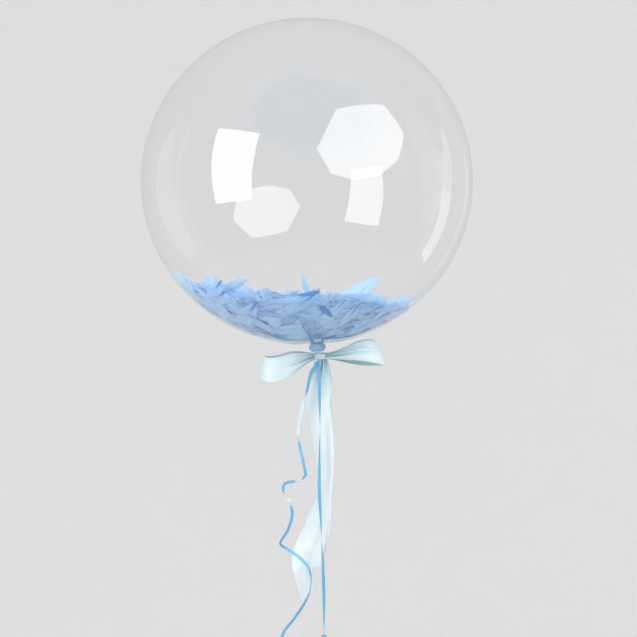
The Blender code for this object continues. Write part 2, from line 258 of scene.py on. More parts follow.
def skin(name, rings, look, uvs=None, closed=False):
    """A mesh object skinned over rings of points, each ring closed, with its faces outwards. Its ends
    are capped, unless the last ring joins on to the first."""
    mesh = bmesh.new()
    loops = [[mesh.verts.new(point) for point in ring] for ring in rings]
    layer = mesh.loops.layers.uv.new("UVMap")
    sides = len(rings[0])
    for k in range(len(rings) - (0 if closed else 1)):
        after = (k + 1) % len(rings)
        for i in range(sides):
            j = (i + 1) % sides
            face = mesh.faces.new((loops[k][i], loops[k][j], loops[after][j], loops[after][i]))
            if uvs:
                places = (uvs[k][i], uvs[k][j], uvs[after][j], uvs[after][i])
                for corner, place in zip(face.loops, places):
                    corner[layer].uv = place
    if not closed:
        mesh.faces.new(reversed(loops[0]))
        mesh.faces.new(loops[-1])
    bmesh.ops.recalc_face_normals(mesh, faces=mesh.faces)
    piece = add_piece(name, mesh, [look])
    piece.data.set_sharp_from_angle(angle=SHARP_FROM)
    return piece


def curling_ribbon(name, rows, look, pale_reverse):
    """Flat ribbon along rows of place and turn. At a turn of 0 its face looks forward. A pale reverse
    lies at 2 to 3 across on the UV map. Returns the piece and the points it follows."""
    rows = np.array(rows)
    count = CURLING_STATIONS * (len(rows) - 1)
    fine = np.array([through(rows, i / count) for i in range(count + 1)])
    places = fine[:, :3]
    along = np.concatenate([[0.0], np.cumsum(np.linalg.norm(np.diff(places, axis=0), axis=1))])
    runs = np.gradient(places, axis=0)
    rings = []
    uvs = []
    for place, run, turn, distance in zip(places, runs, np.radians(fine[:, 3]), along):
        run = run / np.linalg.norm(run)
        side = np.cross(run, (0.0, -1.0, 0.0))
        side /= np.linalg.norm(side)
        face = np.cross(side, run)
        across = side * math.cos(turn) + face * math.sin(turn)
        out = face * math.cos(turn) - side * math.sin(turn)
        front = []
        for s in CURLING_COLUMNS:
            rise = CURLING_DOME * (1 - s * s) + CURLING_THICKNESS / 2
            front.append(place + across * s * CURLING_WIDTH / 2 + out * rise)
        back = [point - out * CURLING_THICKNESS for point in reversed(front)]
        rings.append(front + back)
        across_share = [(s + 1) / 2 for s in CURLING_COLUMNS]
        reverse = [2 * pale_reverse + u for u in across_share[::-1]]
        uvs.append([(u, distance) for u in across_share + reverse])
    return skin(name, rings, look, uvs), [tuple(p) for p in places]


def curling_look(name, blue, pale, lit_through):
    """Glossy ribbed plastic ribbon, with streaks from its blue to its pale colour, and the reverse's
    colour where the UV map calls for it."""
    look, wires = new_look(name)
    across, along, _ = wires.node("ShaderNodeTexCoord", output=2).axes()
    ribs = (across * (RIBS * 2 * math.pi)).sine()
    mottle = wires.node("ShaderNodeTexNoise", None, {"Scale": 160.0, "Detail": 3.0})
    streaks = wires.noise(wires.vector(across * 9.0, along * 25.0), 1.0)
    colour = streaks.between(0.30, 0.75, 0.0, 0.45).blend(blue, pale)
    colour = across.between(1.4, 1.6).blend(colour, CURLING_REVERSE)
    bump = wires.bump(0.25, 0.0002, ribs * 0.6 + mottle * 0.4)
    body = {
        "Base Color": colour,
        "Roughness": mottle.between(0.3, 0.7, 0.22, 0.34),
        "Specular IOR Level": 0.7,
        "Coat Weight": 0.35,
        "Coat Roughness": 0.18,
        "Normal": bump,
    }
    return thin_look(look, wires, lit_through, body, {"Color": pale})


curling = curling_look("curling_ribbon", CURLING_BLUE, CURLING_PALE, 0.18)

rows = []
for share, sideways, forward, turn in TETHER_ROUTE:
    place = TETHER_TOP.lerp(TETHER_FOOT, share) + Vector((sideways, -forward, 0.0))
    rows.append((*place, turn))
tether, tether_path = curling_ribbon("tether", rows, curling, False)

# Loop at the tether's foot
# The tether's own end, folded back and tied in an overhand knot, so that it leaves a loop to hook
# on to a weight. The knot is three tight turns of the same ribbon, and the loop is one flat strand.
LOOP_WIDTH = 0.0110
LOOP_HEIGHT = 0.0160
LOOP_STRAND = 0.0012  # what its crumpled strand takes of its width
LOOP_TUCK = 0.0015  # how far its ends run into the knot
LOOP_RIBBON = 0.0042
LOOP_STEPS = 64
LOOP_SECTION = (  # place across, from edge to edge, and how far outwards
    (-1, 0.00015),
    (-0.5, 0.00030),
    (0, 0.00035),
    (0.5, 0.00030),
    (1, 0.00015),
    (1, -0.00015),
    (0, 0.00005),
    (-1, -0.00015),
)
FOOT_KNOT_WIDTH = 0.0085
FOOT_KNOT_HEIGHT = 0.0080
FOOT_KNOT_TURNS = 3
FOOT_KNOT_STEPS = 16  # in a turn
FOOT_KNOT_HALF_BAND = 0.0018
FOOT_KNOT_PITCH = 0.0015  # on the map, from one step to the next
FOOT_KNOT_SECTION = (  # place across, and how far outwards
    (-1, 0.00005),
    (-0.5, 0.00035),
    (0, 0.00050),
    (0.5, 0.00035),
    (1, 0.00005),
    (0.5, -0.00090),
    (-0.5, -0.00090),
)

rings = []
uvs = []
for i in range(LOOP_STEPS):
    angle = 2 * math.pi * i / LOOP_STEPS
    half_width = (LOOP_WIDTH - LOOP_STRAND) / 2
    half_height = LOOP_HEIGHT / 2 + LOOP_TUCK
    centre = Vector((half_width * math.sin(angle), 0.0, half_height * math.cos(angle)))
    out = Vector((LOOP_HEIGHT * math.sin(angle), 0.0, LOOP_WIDTH * math.cos(angle))).normalized()
    spread = 0.45 + 0.55 * min((1.2 - math.cos(angle)) / 1.2, 1.0)  # narrowest in the knot
    ring = []
    for s, lift in LOOP_SECTION:
        ring.append(centre + Vector((0.0, s * spread * LOOP_RIBBON / 2, 0.0)) + out * lift)
    rings.append(ring)
    uvs.append([((s + 1) / 2, angle * LOOP_HEIGHT / 2) for s, _ in LOOP_SECTION])
foot_loop = skin("foot_loop", rings, curling, uvs, closed=True)

rows = []
for i in range(FOOT_KNOT_STEPS * FOOT_KNOT_TURNS + 1):
    share = i / (FOOT_KNOT_STEPS * FOOT_KNOT_TURNS)
    angle = 2 * math.pi * FOOT_KNOT_TURNS * share
    bulge = 1 - 0.3 * (2 * share - 1) ** 2
    radius = FOOT_KNOT_WIDTH / 2 * 0.86 * bulge
    height = LOOP_HEIGHT / 2 + FOOT_KNOT_HEIGHT * (0.22 + 0.56 * share)
    rows.append((radius * math.cos(angle), radius * math.sin(angle), height + 0.0007 * math.sin(angle)))
rings = []
uvs = []
for i, place in enumerate(rows):
    out = Vector((place[0], place[1], 0.0)).normalized()
    up = Vector((0.0, 0.0, 1.0))
    ring = []
    for s, lift in FOOT_KNOT_SECTION:
        ring.append(Vector(place) + up * s * FOOT_KNOT_HALF_BAND + out * lift)
    rings.append(ring)
    uvs.append([((s + 1) / 2, i * FOOT_KNOT_PITCH) for s, _ in FOOT_KNOT_SECTION])
foot_knot = skin("foot_knot", rings, curling, uvs)

for piece in (tether, foot_loop, foot_knot):
    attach(piece, "root")
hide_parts("tether_ribbon")
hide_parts("tether_loop")
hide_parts("tether_loop")

# Curled ribbon
# A second length of the same ribbon, drawn over a blade so that it curls. It hangs free from the
# knot in two loose curls and ends in a plain cut.
CURL_ROUTE = (  # sideways, back and up from the middle of the knot, and turn of the face in degrees
    (-0.0068, -0.0050, -0.0083, 10),
    (-0.0076, -0.0052, -0.0150, 20),
    (-0.0145, -0.0045, -0.0270, 28),
    (-0.0200, -0.0010, -0.0530, 45),
    (-0.0262, 0.0020, -0.0750, 160),
    (-0.0320, 0.0040, -0.1000, 185),
    (-0.0335, 0.0030, -0.1200, 200),
    (-0.0310, -0.0010, -0.1390, 350),
    (-0.0255, -0.0060, -0.1640, 395),
    (-0.0224, -0.0060, -0.1815, 385),
    (-0.0300, 0.0050, -0.1925, 480),
    (-0.0415, 0.0120, -0.1945, 690),
    (-0.0540, 0.0110, -0.1975, 735),
    (-0.0566, 0.0020, -0.2075, 770),
    (-0.0480, -0.0040, -0.2190, 880),
    (-0.0435, -0.0060, -0.2340, 1060),
    (-0.0430, -0.0060, -0.2460, 1105),
    (-0.0490, -0.0050, -0.2660, 1110),
    (-0.0590, 0.0010, -0.2830, 1118),
    (-0.0600, 0.0100, -0.2920, 1120),
    (-0.0490, 0.0140, -0.3000, 1110),
    (-0.0340, 0.0120, -0.3100, 1110),
    (-0.0205, 0.0080, -0.3225, 1095),
    (-0.0145, 0.0040, -0.3360, 1138),
    (-0.0140, 0.0000, -0.3500, 1152),
    (-0.0165, -0.0030, -0.3640, 1142),
    (-0.0250, -0.0050, -0.3810, 1112),
    (-0.0400, -0.0050, -0.4030, 1108),
    (-0.0540, -0.0030, -0.4210, 1108),
    (-0.0600, 0.0000, -0.4360, 1108),
    (-0.0615, 0.0020, -0.4430, 1108),
)
rows = [(*(KNOT_MIDDLE + Vector(row[:3])), row[3]) for row in CURL_ROUTE]
curl, curl_path = curling_ribbon("curled_ribbon_cut", rows, curling, True)
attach(curl, "root")
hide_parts("curled_ribbon")

# Satin bow
# One length of 38 mm satin ribbon, tied round the neck, made here of a knot in front of it, two loops
# and two long tails. It is gathered into folds at the knot and spreads flat away from it.
SATIN_WIDTH = 0.038
SATIN_THICKNESS = 0.00035
SATIN_CUP = 0.0018
SATIN_COLUMNS = 33
GATHERS = 3
SATIN_PEARL = (0.930, 0.960, 0.975, 1.0)
SATIN_LILAC = (0.930, 0.930, 0.985, 1.0)
# Deep aqua: the weave's darker threads and the selvedge, and the colour of painted shade in the gathers
SATIN_AQUA = (0.400, 0.680, 0.720, 1.0)
# The dull reverse of single-face satin; its deeper colour is painted shade for the insides of the loops
SATIN_REVERSE_SHADED = (0.500, 0.720, 0.740, 1.0)
# The knot is the same satin, given a deeper colour as painted shade
SATIN_KNOT_SHADE = (0.620, 0.830, 0.870, 1.0)
SATIN_GLOW = (0.860, 0.920, 0.940, 1.0)
SATIN_WEFT = 0.0006  # from one thread across to the next
SELVEDGE = 0.035  # share of the width

GATHERED_LOOP = 0.0085
LOOP_START = 0.02
LOOP_STATIONS = 110
LOOP_RISE_POWER = 1.6
# A loop's reach, half its depth, the rise of its far end and of its front and back legs, its lean at
# the far end, the shares of its reach where it has spread and where its painted shade has faded, and
# what is left of the painted shade
LEFT_LOOP = (0.0890, 0.0190, -0.0180, -0.0090, -0.0065, math.radians(11), 0.62, 0.50, 0.22)
RIGHT_LOOP = (0.0925, 0.0200, 0.0035, 0.0075, -0.0010, math.radians(20), 0.95, 0.80, 0.30)

TAIL_GATHER = 0.0130
TAIL_FLARE = 0.048
TAIL_SHADE_FADE = 0.090  # drop at which the painted shade of the gathers has faded
TAIL_PAINTED_SHADE = 0.8
TAIL_SLANT = 0.006  # of the cut end, at each edge
TAIL_STATIONS = 150
FRONT_TAIL = (  # drop, sideways, back, and turn of the face in degrees
    (0.000, 0.0015, 0.0015, 0),
    (0.012, 0.0050, 0.0030, 2),
    (0.042, 0.0000, 0.0080, 6),
    (0.075, -0.0030, 0.0130, 12),
    (0.112, 0.0020, 0.0175, 22),
    (0.143, 0.0058, 0.0210, 34),
    (0.177, 0.0085, 0.0240, 50),
    (0.217, 0.0093, 0.0260, 64),
    (0.254, 0.0090, 0.0260, 66),
    (0.291, 0.0025, 0.0260, 62),
    (0.313, -0.0045, 0.0265, 54),
    (0.330, -0.0055, 0.0270, 48),
)
BACK_TAIL = (
    (0.000, 0.0020, 0.0046, 0),
    (0.012, 0.0022, 0.0078, 2),
    (0.042, -0.0015, 0.0180, 6),
    (0.075, -0.0015, 0.0270, 14),
    (0.112, 0.0030, 0.0360, 28),
    (0.143, 0.0055, 0.0440, 42),
    (0.177, 0.0080, 0.0520, 54),
    (0.217, 0.0075, 0.0600, 60),
    (0.240, -0.0010, 0.0630, 57),
    (0.258, -0.0100, 0.0630, 57),
    (0.275, -0.0150, 0.0600, 50),
    (0.291, -0.0195, 0.0570, 34),
    (0.316, -0.0245, 0.0530, 2),
    (0.347, -0.0250, 0.0510, -42),
    (0.378, -0.0190, 0.0520, -62),
)


def ease(value):
    """From 0 to 1, with a smooth start and stop, as the value goes from 0 to 1."""
    value = min(max(value, 0.0), 1.0)
    return value * value * (3 - 2 * value)


def fold_wave(u, phase):
    """Height of the gathers across the ribbon, from edge to edge at u -1 to 1."""
    return np.sin(math.pi * GATHERS * u + phase) + 0.35 * np.sin(math.pi * (GATHERS + 2) * u + 2 * phase)


def fold_height(chord, phase):
    """How high the gathers stand where the whole ribbon is drawn up to this chord."""
    u = np.linspace(-1, 1, 240)
    low, high = 0.0, 0.01
    for _ in range(24):
        height = (low + high) / 2
        length = np.hypot(np.diff(u * chord / 2), np.diff(height * fold_wave(u, phase))).sum()
        low, high = (height, high) if length < SATIN_WIDTH else (low, height)
    return height


def satin_row(centre, across, out, chord, phase):
    """Points across the ribbon, at one place along it."""
    u = np.linspace(-1, 1, SATIN_COLUMNS)
    flat = ease((chord / SATIN_WIDTH - 0.3) / 0.7)
    height = fold_height(chord, phase) * fold_wave(u, phase) + SATIN_CUP * flat * (1 - u * u)
    return [centre + across * float(s) * chord / 2 + out * float(h) for s, h in zip(u, height)]


def painted_edge_shade(side):
    """How deep the painted shade is across the ribbon: deepest at its last edge, or for a side of -1
    at its first."""
    return np.interp(side * np.linspace(-1, 1, SATIN_COLUMNS), (-1.0, 0.4), (0.35, 1.0))


def strip(name, rows, painted_shades, looks):
    """A sheet through rows of points, each point with this much painted shade, with a UV map in metres
    along it and shares across. The looks are of its bright side and its reverse."""
    mesh = bmesh.new()
    grid = [[mesh.verts.new(point) for point in row] for row in rows]
    layer = mesh.loops.layers.uv.new("UVMap")
    along = [0.0]
    for one, other in zip(rows, rows[1:]):
        middle = len(one) // 2
        along.append(along[-1] + (other[middle] - one[middle]).length)
    for k in range(len(rows) - 1):
        for i in range(len(rows[0]) - 1):
            face = mesh.faces.new((grid[k][i], grid[k][i + 1], grid[k + 1][i + 1], grid[k + 1][i]))
            corners = ((k, i), (k, i + 1), (k + 1, i + 1), (k + 1, i))
            for corner, (a, b) in zip(face.loops, corners):
                corner[layer].uv = (b / (len(rows[0]) - 1), along[a])
    piece = add_piece(name, mesh, looks)
    # Painted shade at each point, for the satin's material
    attribute = piece.data.attributes.new("painted_shade", "FLOAT", "POINT")
    attribute.data.foreach_set("value", np.array(painted_shades, dtype=np.float32).ravel())
    wall = piece.modifiers.new("wall", "SOLIDIFY")
    wall.thickness = SATIN_THICKNESS
    wall.offset = 0.0
    wall.material_offset = 1
    return piece


def bow_loop(name, side, shape, looks):
    """A loop out to one side and back: side is -1 for the left and 1 for the right."""
    reach, depth, rise, front_rise, back_rise, far_lean, spread_share, shade_fade_share, cast = shape
    rows, painted_shades = [], []
    for i in range(LOOP_STATIONS):
        turn = LOOP_START + (1 - 2 * LOOP_START) * i / (LOOP_STATIONS - 1)
        out = math.sin(math.pi * turn)
        swing = math.sin(2 * math.pi * turn)
        leg = (front_rise if swing > 0 else back_rise) * swing * swing
        height = rise * out**LOOP_RISE_POWER + leg
        centre = KNOT_MIDDLE + Vector((side * reach * out, -depth * swing, height))
        run_x = side * reach * math.cos(math.pi * turn)
        run_y = -2 * depth * math.cos(2 * math.pi * turn)
        inward = Vector((-run_y, run_x, 0.0)).normalized() * side
        lean = far_lean * out
        across = Vector((0.0, 0.0, math.cos(lean))) + inward * math.sin(lean)
        face = Vector((0.0, 0.0, math.sin(lean))) - inward * math.cos(lean)
        chord = GATHERED_LOOP + (SATIN_WIDTH - GATHERED_LOOP) * ease(out / spread_share)
        rows.append(satin_row(centre, across, face, chord, 0.6 + side * 0.3))
        # Painted shade: deepest by the knot, where the gathers lie in shade, fading along the loop, and
        # deeper at the top of the right loop and the bottom of the left
        painted_shades.append((1 - (1 - cast) * ease(out / shade_fade_share)) * painted_edge_shade(side))
    return strip(name, rows, painted_shades, looks)


def bow_tail(name, table, phase, looks):
    """A tail through the rows of a table, with its gathers in this phase."""
    table = np.array(table)
    rows, painted_shades = [], []
    for i in range(TAIL_STATIONS):
        drop, sideways, back, turn = (float(x) for x in through(table, i / (TAIL_STATIONS - 1)))
        across = Vector((math.cos(math.radians(turn)), -math.sin(math.radians(turn)), 0.0))
        face = across.cross(Vector((0.0, 0.0, 1.0)))
        centre = KNOT_MIDDLE + Vector((sideways, back, -drop))
        chord = TAIL_GATHER + (SATIN_WIDTH - TAIL_GATHER) * ease(drop / TAIL_FLARE)
        row = satin_row(centre, across, face, chord, phase)
        slant = TAIL_SLANT * ease(1 - (table[-1][0] - drop) / (8 * TAIL_SLANT))
        for point in row:
            point.z += slant * (point - centre).dot(across) / (SATIN_WIDTH / 2)
        rows.append(row)
        # Painted shade: deepest under the knot, where the tail lies in shade, fading down the tail and
        # deeper towards its right edge
        painted_shades.append(TAIL_PAINTED_SHADE * (1 - ease(drop / TAIL_SHADE_FADE)) * painted_edge_shade(1))
    return strip(name, rows, painted_shades, looks)


def satin_look(name, bright, lilac, dark, roughness):
    """Satin, with a lilac cast in patches, a firm selvedge, and painted shade that deepens its colour in
    the gathers and towards one edge.
    """
    look, wires = new_look(name)
    across, along, _ = wires.node("ShaderNodeTexCoord", output=2).axes()
    # Painted shade, from each point of the ribbon: deeper colour where it lies in shade
    painted_shade = wires.node("ShaderNodeAttribute", {"attribute_name": "painted_shade"}, output=2)
    warp = wires.noise(wires.vector(across * 150.0, along * 260.0), 1.0, 3.0)
    cast = wires.noise(wires.vector(across * 1.6, along * 26.0), 1.0, 1.0)
    weft = (along * (2 * math.pi / SATIN_WEFT)).sine()
    edge = across.between(0.0, SELVEDGE, 1.0, 0.0) + across.between(1 - SELVEDGE, 1.0, 0.0, 1.0)
    colour = cast.between(0.45, 0.70).blend(bright, lilac)
    # The darker threads and the selvedge are the satin's own; the rest is painted shade
    weave_and_painted_shade = warp.between(0.35, 0.65, 0.0, 0.22) + edge * 0.25 + painted_shade * 0.90
    colour = weave_and_painted_shade.blend(colour, dark)
    bump = wires.bump(0.20, 0.0002, warp * 0.6 + weft * 0.15 + edge * 0.8)
    body = {
        "Base Color": colour,
        "Roughness": warp.between(0.3, 0.7, roughness, roughness + 0.12),
        "Specular IOR Level": 0.75,
        "Sheen Weight": 0.25,
        "Sheen Roughness": 0.4,
        "Normal": bump,
    }
    return thin_look(look, wires, 0.34, body, {"Color": SATIN_GLOW, "Normal": bump})


satin = satin_look("satin_ribbon", SATIN_PEARL, SATIN_LILAC, SATIN_AQUA, 0.28)
satin_reverse_shaded = satin_look("satin_reverse_shaded", SATIN_REVERSE_SHADED, SATIN_REVERSE_SHADED, SATIN_AQUA, 0.50)
satin_knot_shaded = satin_look("satin_knot_shaded", SATIN_KNOT_SHADE, SATIN_PEARL, SATIN_AQUA, 0.28)

left_loop = bow_loop("bow_left_loop", -1, LEFT_LOOP, (satin, satin_reverse_shaded))
right_loop = bow_loop("bow_right_loop", 1, RIGHT_LOOP, (satin_reverse_shaded, satin))
front_tail = bow_tail("bow_front_tail", FRONT_TAIL, 0.4, (satin_reverse_shaded, satin))
back_tail = bow_tail("bow_back_tail", BACK_TAIL, 1.5, (satin_reverse_shaded, satin))

KNOT_WIDTH = 0.0164
KNOT_DEPTH = 0.0130
KNOT_HEIGHT = 0.0118
KNOT_CREASES = 4
KNOT_CREASE = 0.05  # share of its height
KNOT_SQUARE = 0.75  # 1 would be an oval, less is squarer
KNOT_STEPS = 48
KNOT_AROUND = 64
KNOT_PITCH = 0.0006  # on the map, from one point around it to the next

rings = []
uvs = []
for i in range(KNOT_STEPS + 1):
    along = 2 * i / KNOT_STEPS - 1
    ring = []
    for k in range(KNOT_AROUND):
        angle = 2 * math.pi * k / KNOT_AROUND
        crease = KNOT_CREASE * math.cos(KNOT_CREASES * math.pi * along + 0.8 * math.sin(angle))
        bulge = 0.97 - 0.10 * along * along + crease * (1 - along * along)
        y = math.copysign(abs(math.cos(angle)) ** KNOT_SQUARE, math.cos(angle)) * bulge
        z = math.copysign(abs(math.sin(angle)) ** KNOT_SQUARE, math.sin(angle)) * bulge
        place = Vector((KNOT_WIDTH / 2 * along, KNOT_DEPTH / 2 * y, KNOT_HEIGHT / 2 * z))
        ring.append(KNOT_MIDDLE + place)
    rings.append(ring)
    uvs.append([(i / KNOT_STEPS, k * KNOT_PITCH) for k in range(KNOT_AROUND)])
knot = skin("bow_knot", rings, satin_knot_shaded, uvs)

for piece, length, held in (  # its length is that of the flat ribbon
    (left_loop, 0.197, "gathered"),
    (right_loop, 0.203, "gathered"),
    (front_tail, 0.335, "hung"),
    (back_tail, 0.400, "hung"),
):
    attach(piece, "root")
    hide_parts("satin_bow")
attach(knot, "root")
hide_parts("satin_bow")

# Neck tie
# The same curling ribbon, wound a few times round the gathered neck and pulled tight, so that its
# turns crumple and ride over each other into a lumpy oval.
NECK_MIDDLE = Vector((-0.0108, 0.0, 0.4690))
LEAN = math.radians(3.6)
NECK_FRAME = Matrix.Translation(NECK_MIDDLE) @ Matrix.Rotation(-LEAN, 4, "Y")
TIE_DROP = 0.0087  # its middle, under the neck's
TIE_RADIUS = 0.0134
TIE_HEIGHT = 0.0150
TIE_INNER = 0.0049
TIE_MIDDLE = 0.0130  # radius along which the ribbon's length is counted
TIE_SECTION = 40
TIE_AROUND = 120
TIE_TURNS = 4
TIE_LAP = 0.00080  # how far its turns stand out
TIE_CRUMPLE = 0.00045
# Paler than the tether's blue: painted light on the same ribbon, which lies in shade under the ball
TIE_LIT_BLUE = (0.480, 0.760, 1.000, 1.0)
TIE_LIT_PALE = (0.860, 0.940, 0.990, 1.0)

rings = []
uvs = []
for i in range(TIE_AROUND):
    around = 2 * math.pi * i / TIE_AROUND
    ring = []
    for k in range(TIE_SECTION):
        angle = 2 * math.pi * k / TIE_SECTION
        tall = math.sin(angle)
        outer = max(math.cos(angle), 0.0)
        lap = math.cos(math.pi * TIE_TURNS * tall + around + 0.7 * math.sin(2 * around))
        crumple = math.sin(5 * around + 3 * tall) + 0.6 * math.sin(9 * around - 5 * tall + 1)
        radius = TIE_INNER + (TIE_RADIUS - TIE_INNER) * outer**0.85
        radius += outer * (TIE_LAP * (lap - 0.4) + TIE_CRUMPLE * (crumple - 0.6))
        lift = TIE_HEIGHT / 2 * tall * (0.93 + 0.05 * math.sin(2 * around + 0.5)) - TIE_DROP
        ring.append(NECK_FRAME @ Vector((radius * math.cos(around), radius * math.sin(around), lift)))
    rings.append(ring)
    turns = [k * TIE_TURNS * 2 / TIE_SECTION for k in range(TIE_SECTION)]
    uvs.append([(turn % 1.0, around * TIE_MIDDLE) for turn in turns])
tie_look = curling_look("neck_tie", TIE_LIT_BLUE, TIE_LIT_PALE, 0.50)
tie = skin("neck_tie_turns", rings, tie_look, uvs, closed=True)
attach(tie, "root")
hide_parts("neck_tie")

# Film
# A ball of thin clear film, stretched tight by the gas, with a gathered neck under it. The film
# doubles over in fine folds that run out from the neck.
BALL_DIAMETER = 0.510
BALL_HEIGHT = 0.500
DIMPLE_DEPTH = 0.0045
STEM_RADIUS = 0.0043
STEM_FILLET = 0.0040
STEM_LENGTH = 0.0250
ROUND_TO = math.radians(170)
FILM_AROUND = 288
FILM_RINGS = 120
FILM_CURVE = 20  # steps from the ball in to the neck
FILLET_STEPS = 6
STEM_STEPS = 8
FILM_FOLDS = 26
FOLD_RISE = 0.0011
FOLDS_WITHIN = 0.07  # radius round the neck
FILM_TINT = (0.966, 0.969, 0.973, 1.0)
FILM_SHINE = (0.90, 0.91, 0.93, 1.0)


def film_profile():
    """Radius and height of the film from the crown down to the neck, over the neck's middle."""
    centre = BALL_HEIGHT / 2 - DIMPLE_DEPTH
    profile = []
    for i in range(1, FILM_RINGS + 1):
        angle = ROUND_TO * i / FILM_RINGS
        height = centre + BALL_HEIGHT / 2 * math.cos(angle)
        profile.append((BALL_DIAMETER / 2 * math.sin(angle), height))
    start = Vector(profile[-1])
    run = Vector((BALL_DIAMETER * math.cos(ROUND_TO), -BALL_HEIGHT * math.sin(ROUND_TO)))
    run.normalize()
    stop = Vector((STEM_RADIUS + STEM_FILLET, 0.0))
    reach = (start.x - stop.x) / 2
    hand_out = start + run * reach
    hand_in = stop + Vector((reach / 2, -DIMPLE_DEPTH / 3))
    for i in range(1, FILM_CURVE + 1):
        t = i / FILM_CURVE
        s = 1 - t
        point = start * s**3 + hand_out * 3 * s * s * t + hand_in * 3 * s * t * t + stop * t**3
        profile.append((point.x, point.y))
    for i in range(1, FILLET_STEPS + 1):
        angle = math.radians(90 / FILLET_STEPS) * i
        radius = STEM_RADIUS + STEM_FILLET * (1 - math.sin(angle))
        profile.append((radius, -STEM_FILLET * (1 - math.cos(angle))))
    for i in range(1, STEM_STEPS + 1):
        profile.append((STEM_RADIUS, -STEM_FILLET - (STEM_LENGTH - STEM_FILLET) * i / STEM_STEPS))
    return profile


def fold_depth(radius, angle):
    """How far the film rises into the folds that run out from the neck."""
    depth = 0.0
    for k in range(FILM_FOLDS):
        place = 2 * math.pi * (k + 0.35 * math.sin(7.3 * k)) / FILM_FOLDS
        reach = 0.030 + 0.035 * abs(math.sin(3.7 * k + 1))
        away = math.remainder(angle - place, 2 * math.pi) * radius
        width = 0.0008 + 0.10 * radius / FILM_FOLDS
        share = 0.6 + 0.4 * math.sin(5 * k)
        depth += (1 - ease(radius / reach)) * math.exp(-((away / width) ** 2)) * share
    return depth


def tube(rings):
    """A bmesh over rings of points, with open ends, and the corners of its rings."""
    mesh = bmesh.new()
    loops = [[mesh.verts.new(point) for point in ring] for ring in rings]
    for one, other in zip(loops, loops[1:]):
        for i in range(len(one)):
            j = (i + 1) % len(one)
            mesh.faces.new((one[i], one[j], other[j], other[i]))
    return mesh, loops


def film_look(name, tint, shine, power, roughness):
    """Clear film with a shine, which grows to a mirror where the film is seen edge-on."""
    look, wires = new_look(name)
    facing = wires.node("ShaderNodeLayerWeight", None, {"Blend": 0.5}, 1)
    share = shine + (1 - shine) * facing**power
    clear = wires.node("ShaderNodeBsdfTransparent", None, {"Color": tint})
    gloss = wires.node("ShaderNodeBsdfGlossy", None, {"Color": FILM_SHINE, "Roughness": roughness})
    return finish_look(look, wires.mix(share, clear, gloss))


rings = []
for radius, height in film_profile():
    ring = []
    for i in range(FILM_AROUND):
        angle = 2 * math.pi * i / FILM_AROUND
        lift = 0.0
        if height < 0.02 and radius < FOLDS_WITHIN:
            lift = FOLD_RISE * fold_depth(radius, angle) * ease((radius - 0.006) / 0.010)
        out = radius
        if height < 0.0:
            out *= 1 - 0.05 * (1 + math.cos(FILM_FOLDS * angle)) / 2
        place = Vector((out * math.cos(angle), out * math.sin(angle), height + lift))
        ring.append(NECK_FRAME @ place)
    rings.append(ring)
crown = NECK_FRAME @ Vector((0.0, 0.0, BALL_HEIGHT - DIMPLE_DEPTH))

mesh, loops = tube(rings)
top = mesh.verts.new(crown)
for i in range(FILM_AROUND):
    mesh.faces.new((loops[0][(i + 1) % FILM_AROUND], loops[0][i], top))
mesh.faces.new(reversed(loops[-1]))
bmesh.ops.recalc_face_normals(mesh, faces=mesh.faces)
ball = add_piece("ball_film", mesh, [film_look("clear_film", FILM_TINT, 0.075, 5.0, 0.03)])
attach(ball, "root")
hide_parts("bubble")

# The film's pleats, which stand out where it is drawn together, and run out from the neck.
PLEATS = (  # angle at the neck and at the far end in degrees, radius there and there, and width
    (-102, -96, 0.012, 0.142, 0.0080),
    (-80, -89, 0.010, 0.142, 0.0060),
    (-60, -52, 0.014, 0.070, 0.0016),
    (-40, -30, 0.014, 0.085, 0.0020),
    (-22, -14, 0.016, 0.066, 0.0014),
    (-140, -150, 0.014, 0.072, 0.0018),
    (-162, -170, 0.016, 0.060, 0.0014),
    (12, 6, 0.014, 0.064, 0.0018),
    (40, 50, 0.014, 0.090, 0.0026),
    (75, 82, 0.012, 0.105, 0.0038),
    (108, 98, 0.014, 0.070, 0.0020),
    (140, 146, 0.014, 0.084, 0.0024),
    (170, 176, 0.014, 0.060, 0.0016),
)
PLEAT_STEPS = 24
PLEAT_SIDES = 8
PLEAT_TIP = 0.0001  # half of its width at its far end
DEEP_PLEAT = 0.005  # narrower ones are fine
# The pleats' teal tints are painted shade and painted refraction of the blue feathers seen through the
# folds
DEEP_PLEAT_SHADE_TINT = (0.480, 0.770, 0.880, 1.0)
FINE_PLEAT_SHADE_TINT = (0.820, 0.920, 0.960, 1.0)

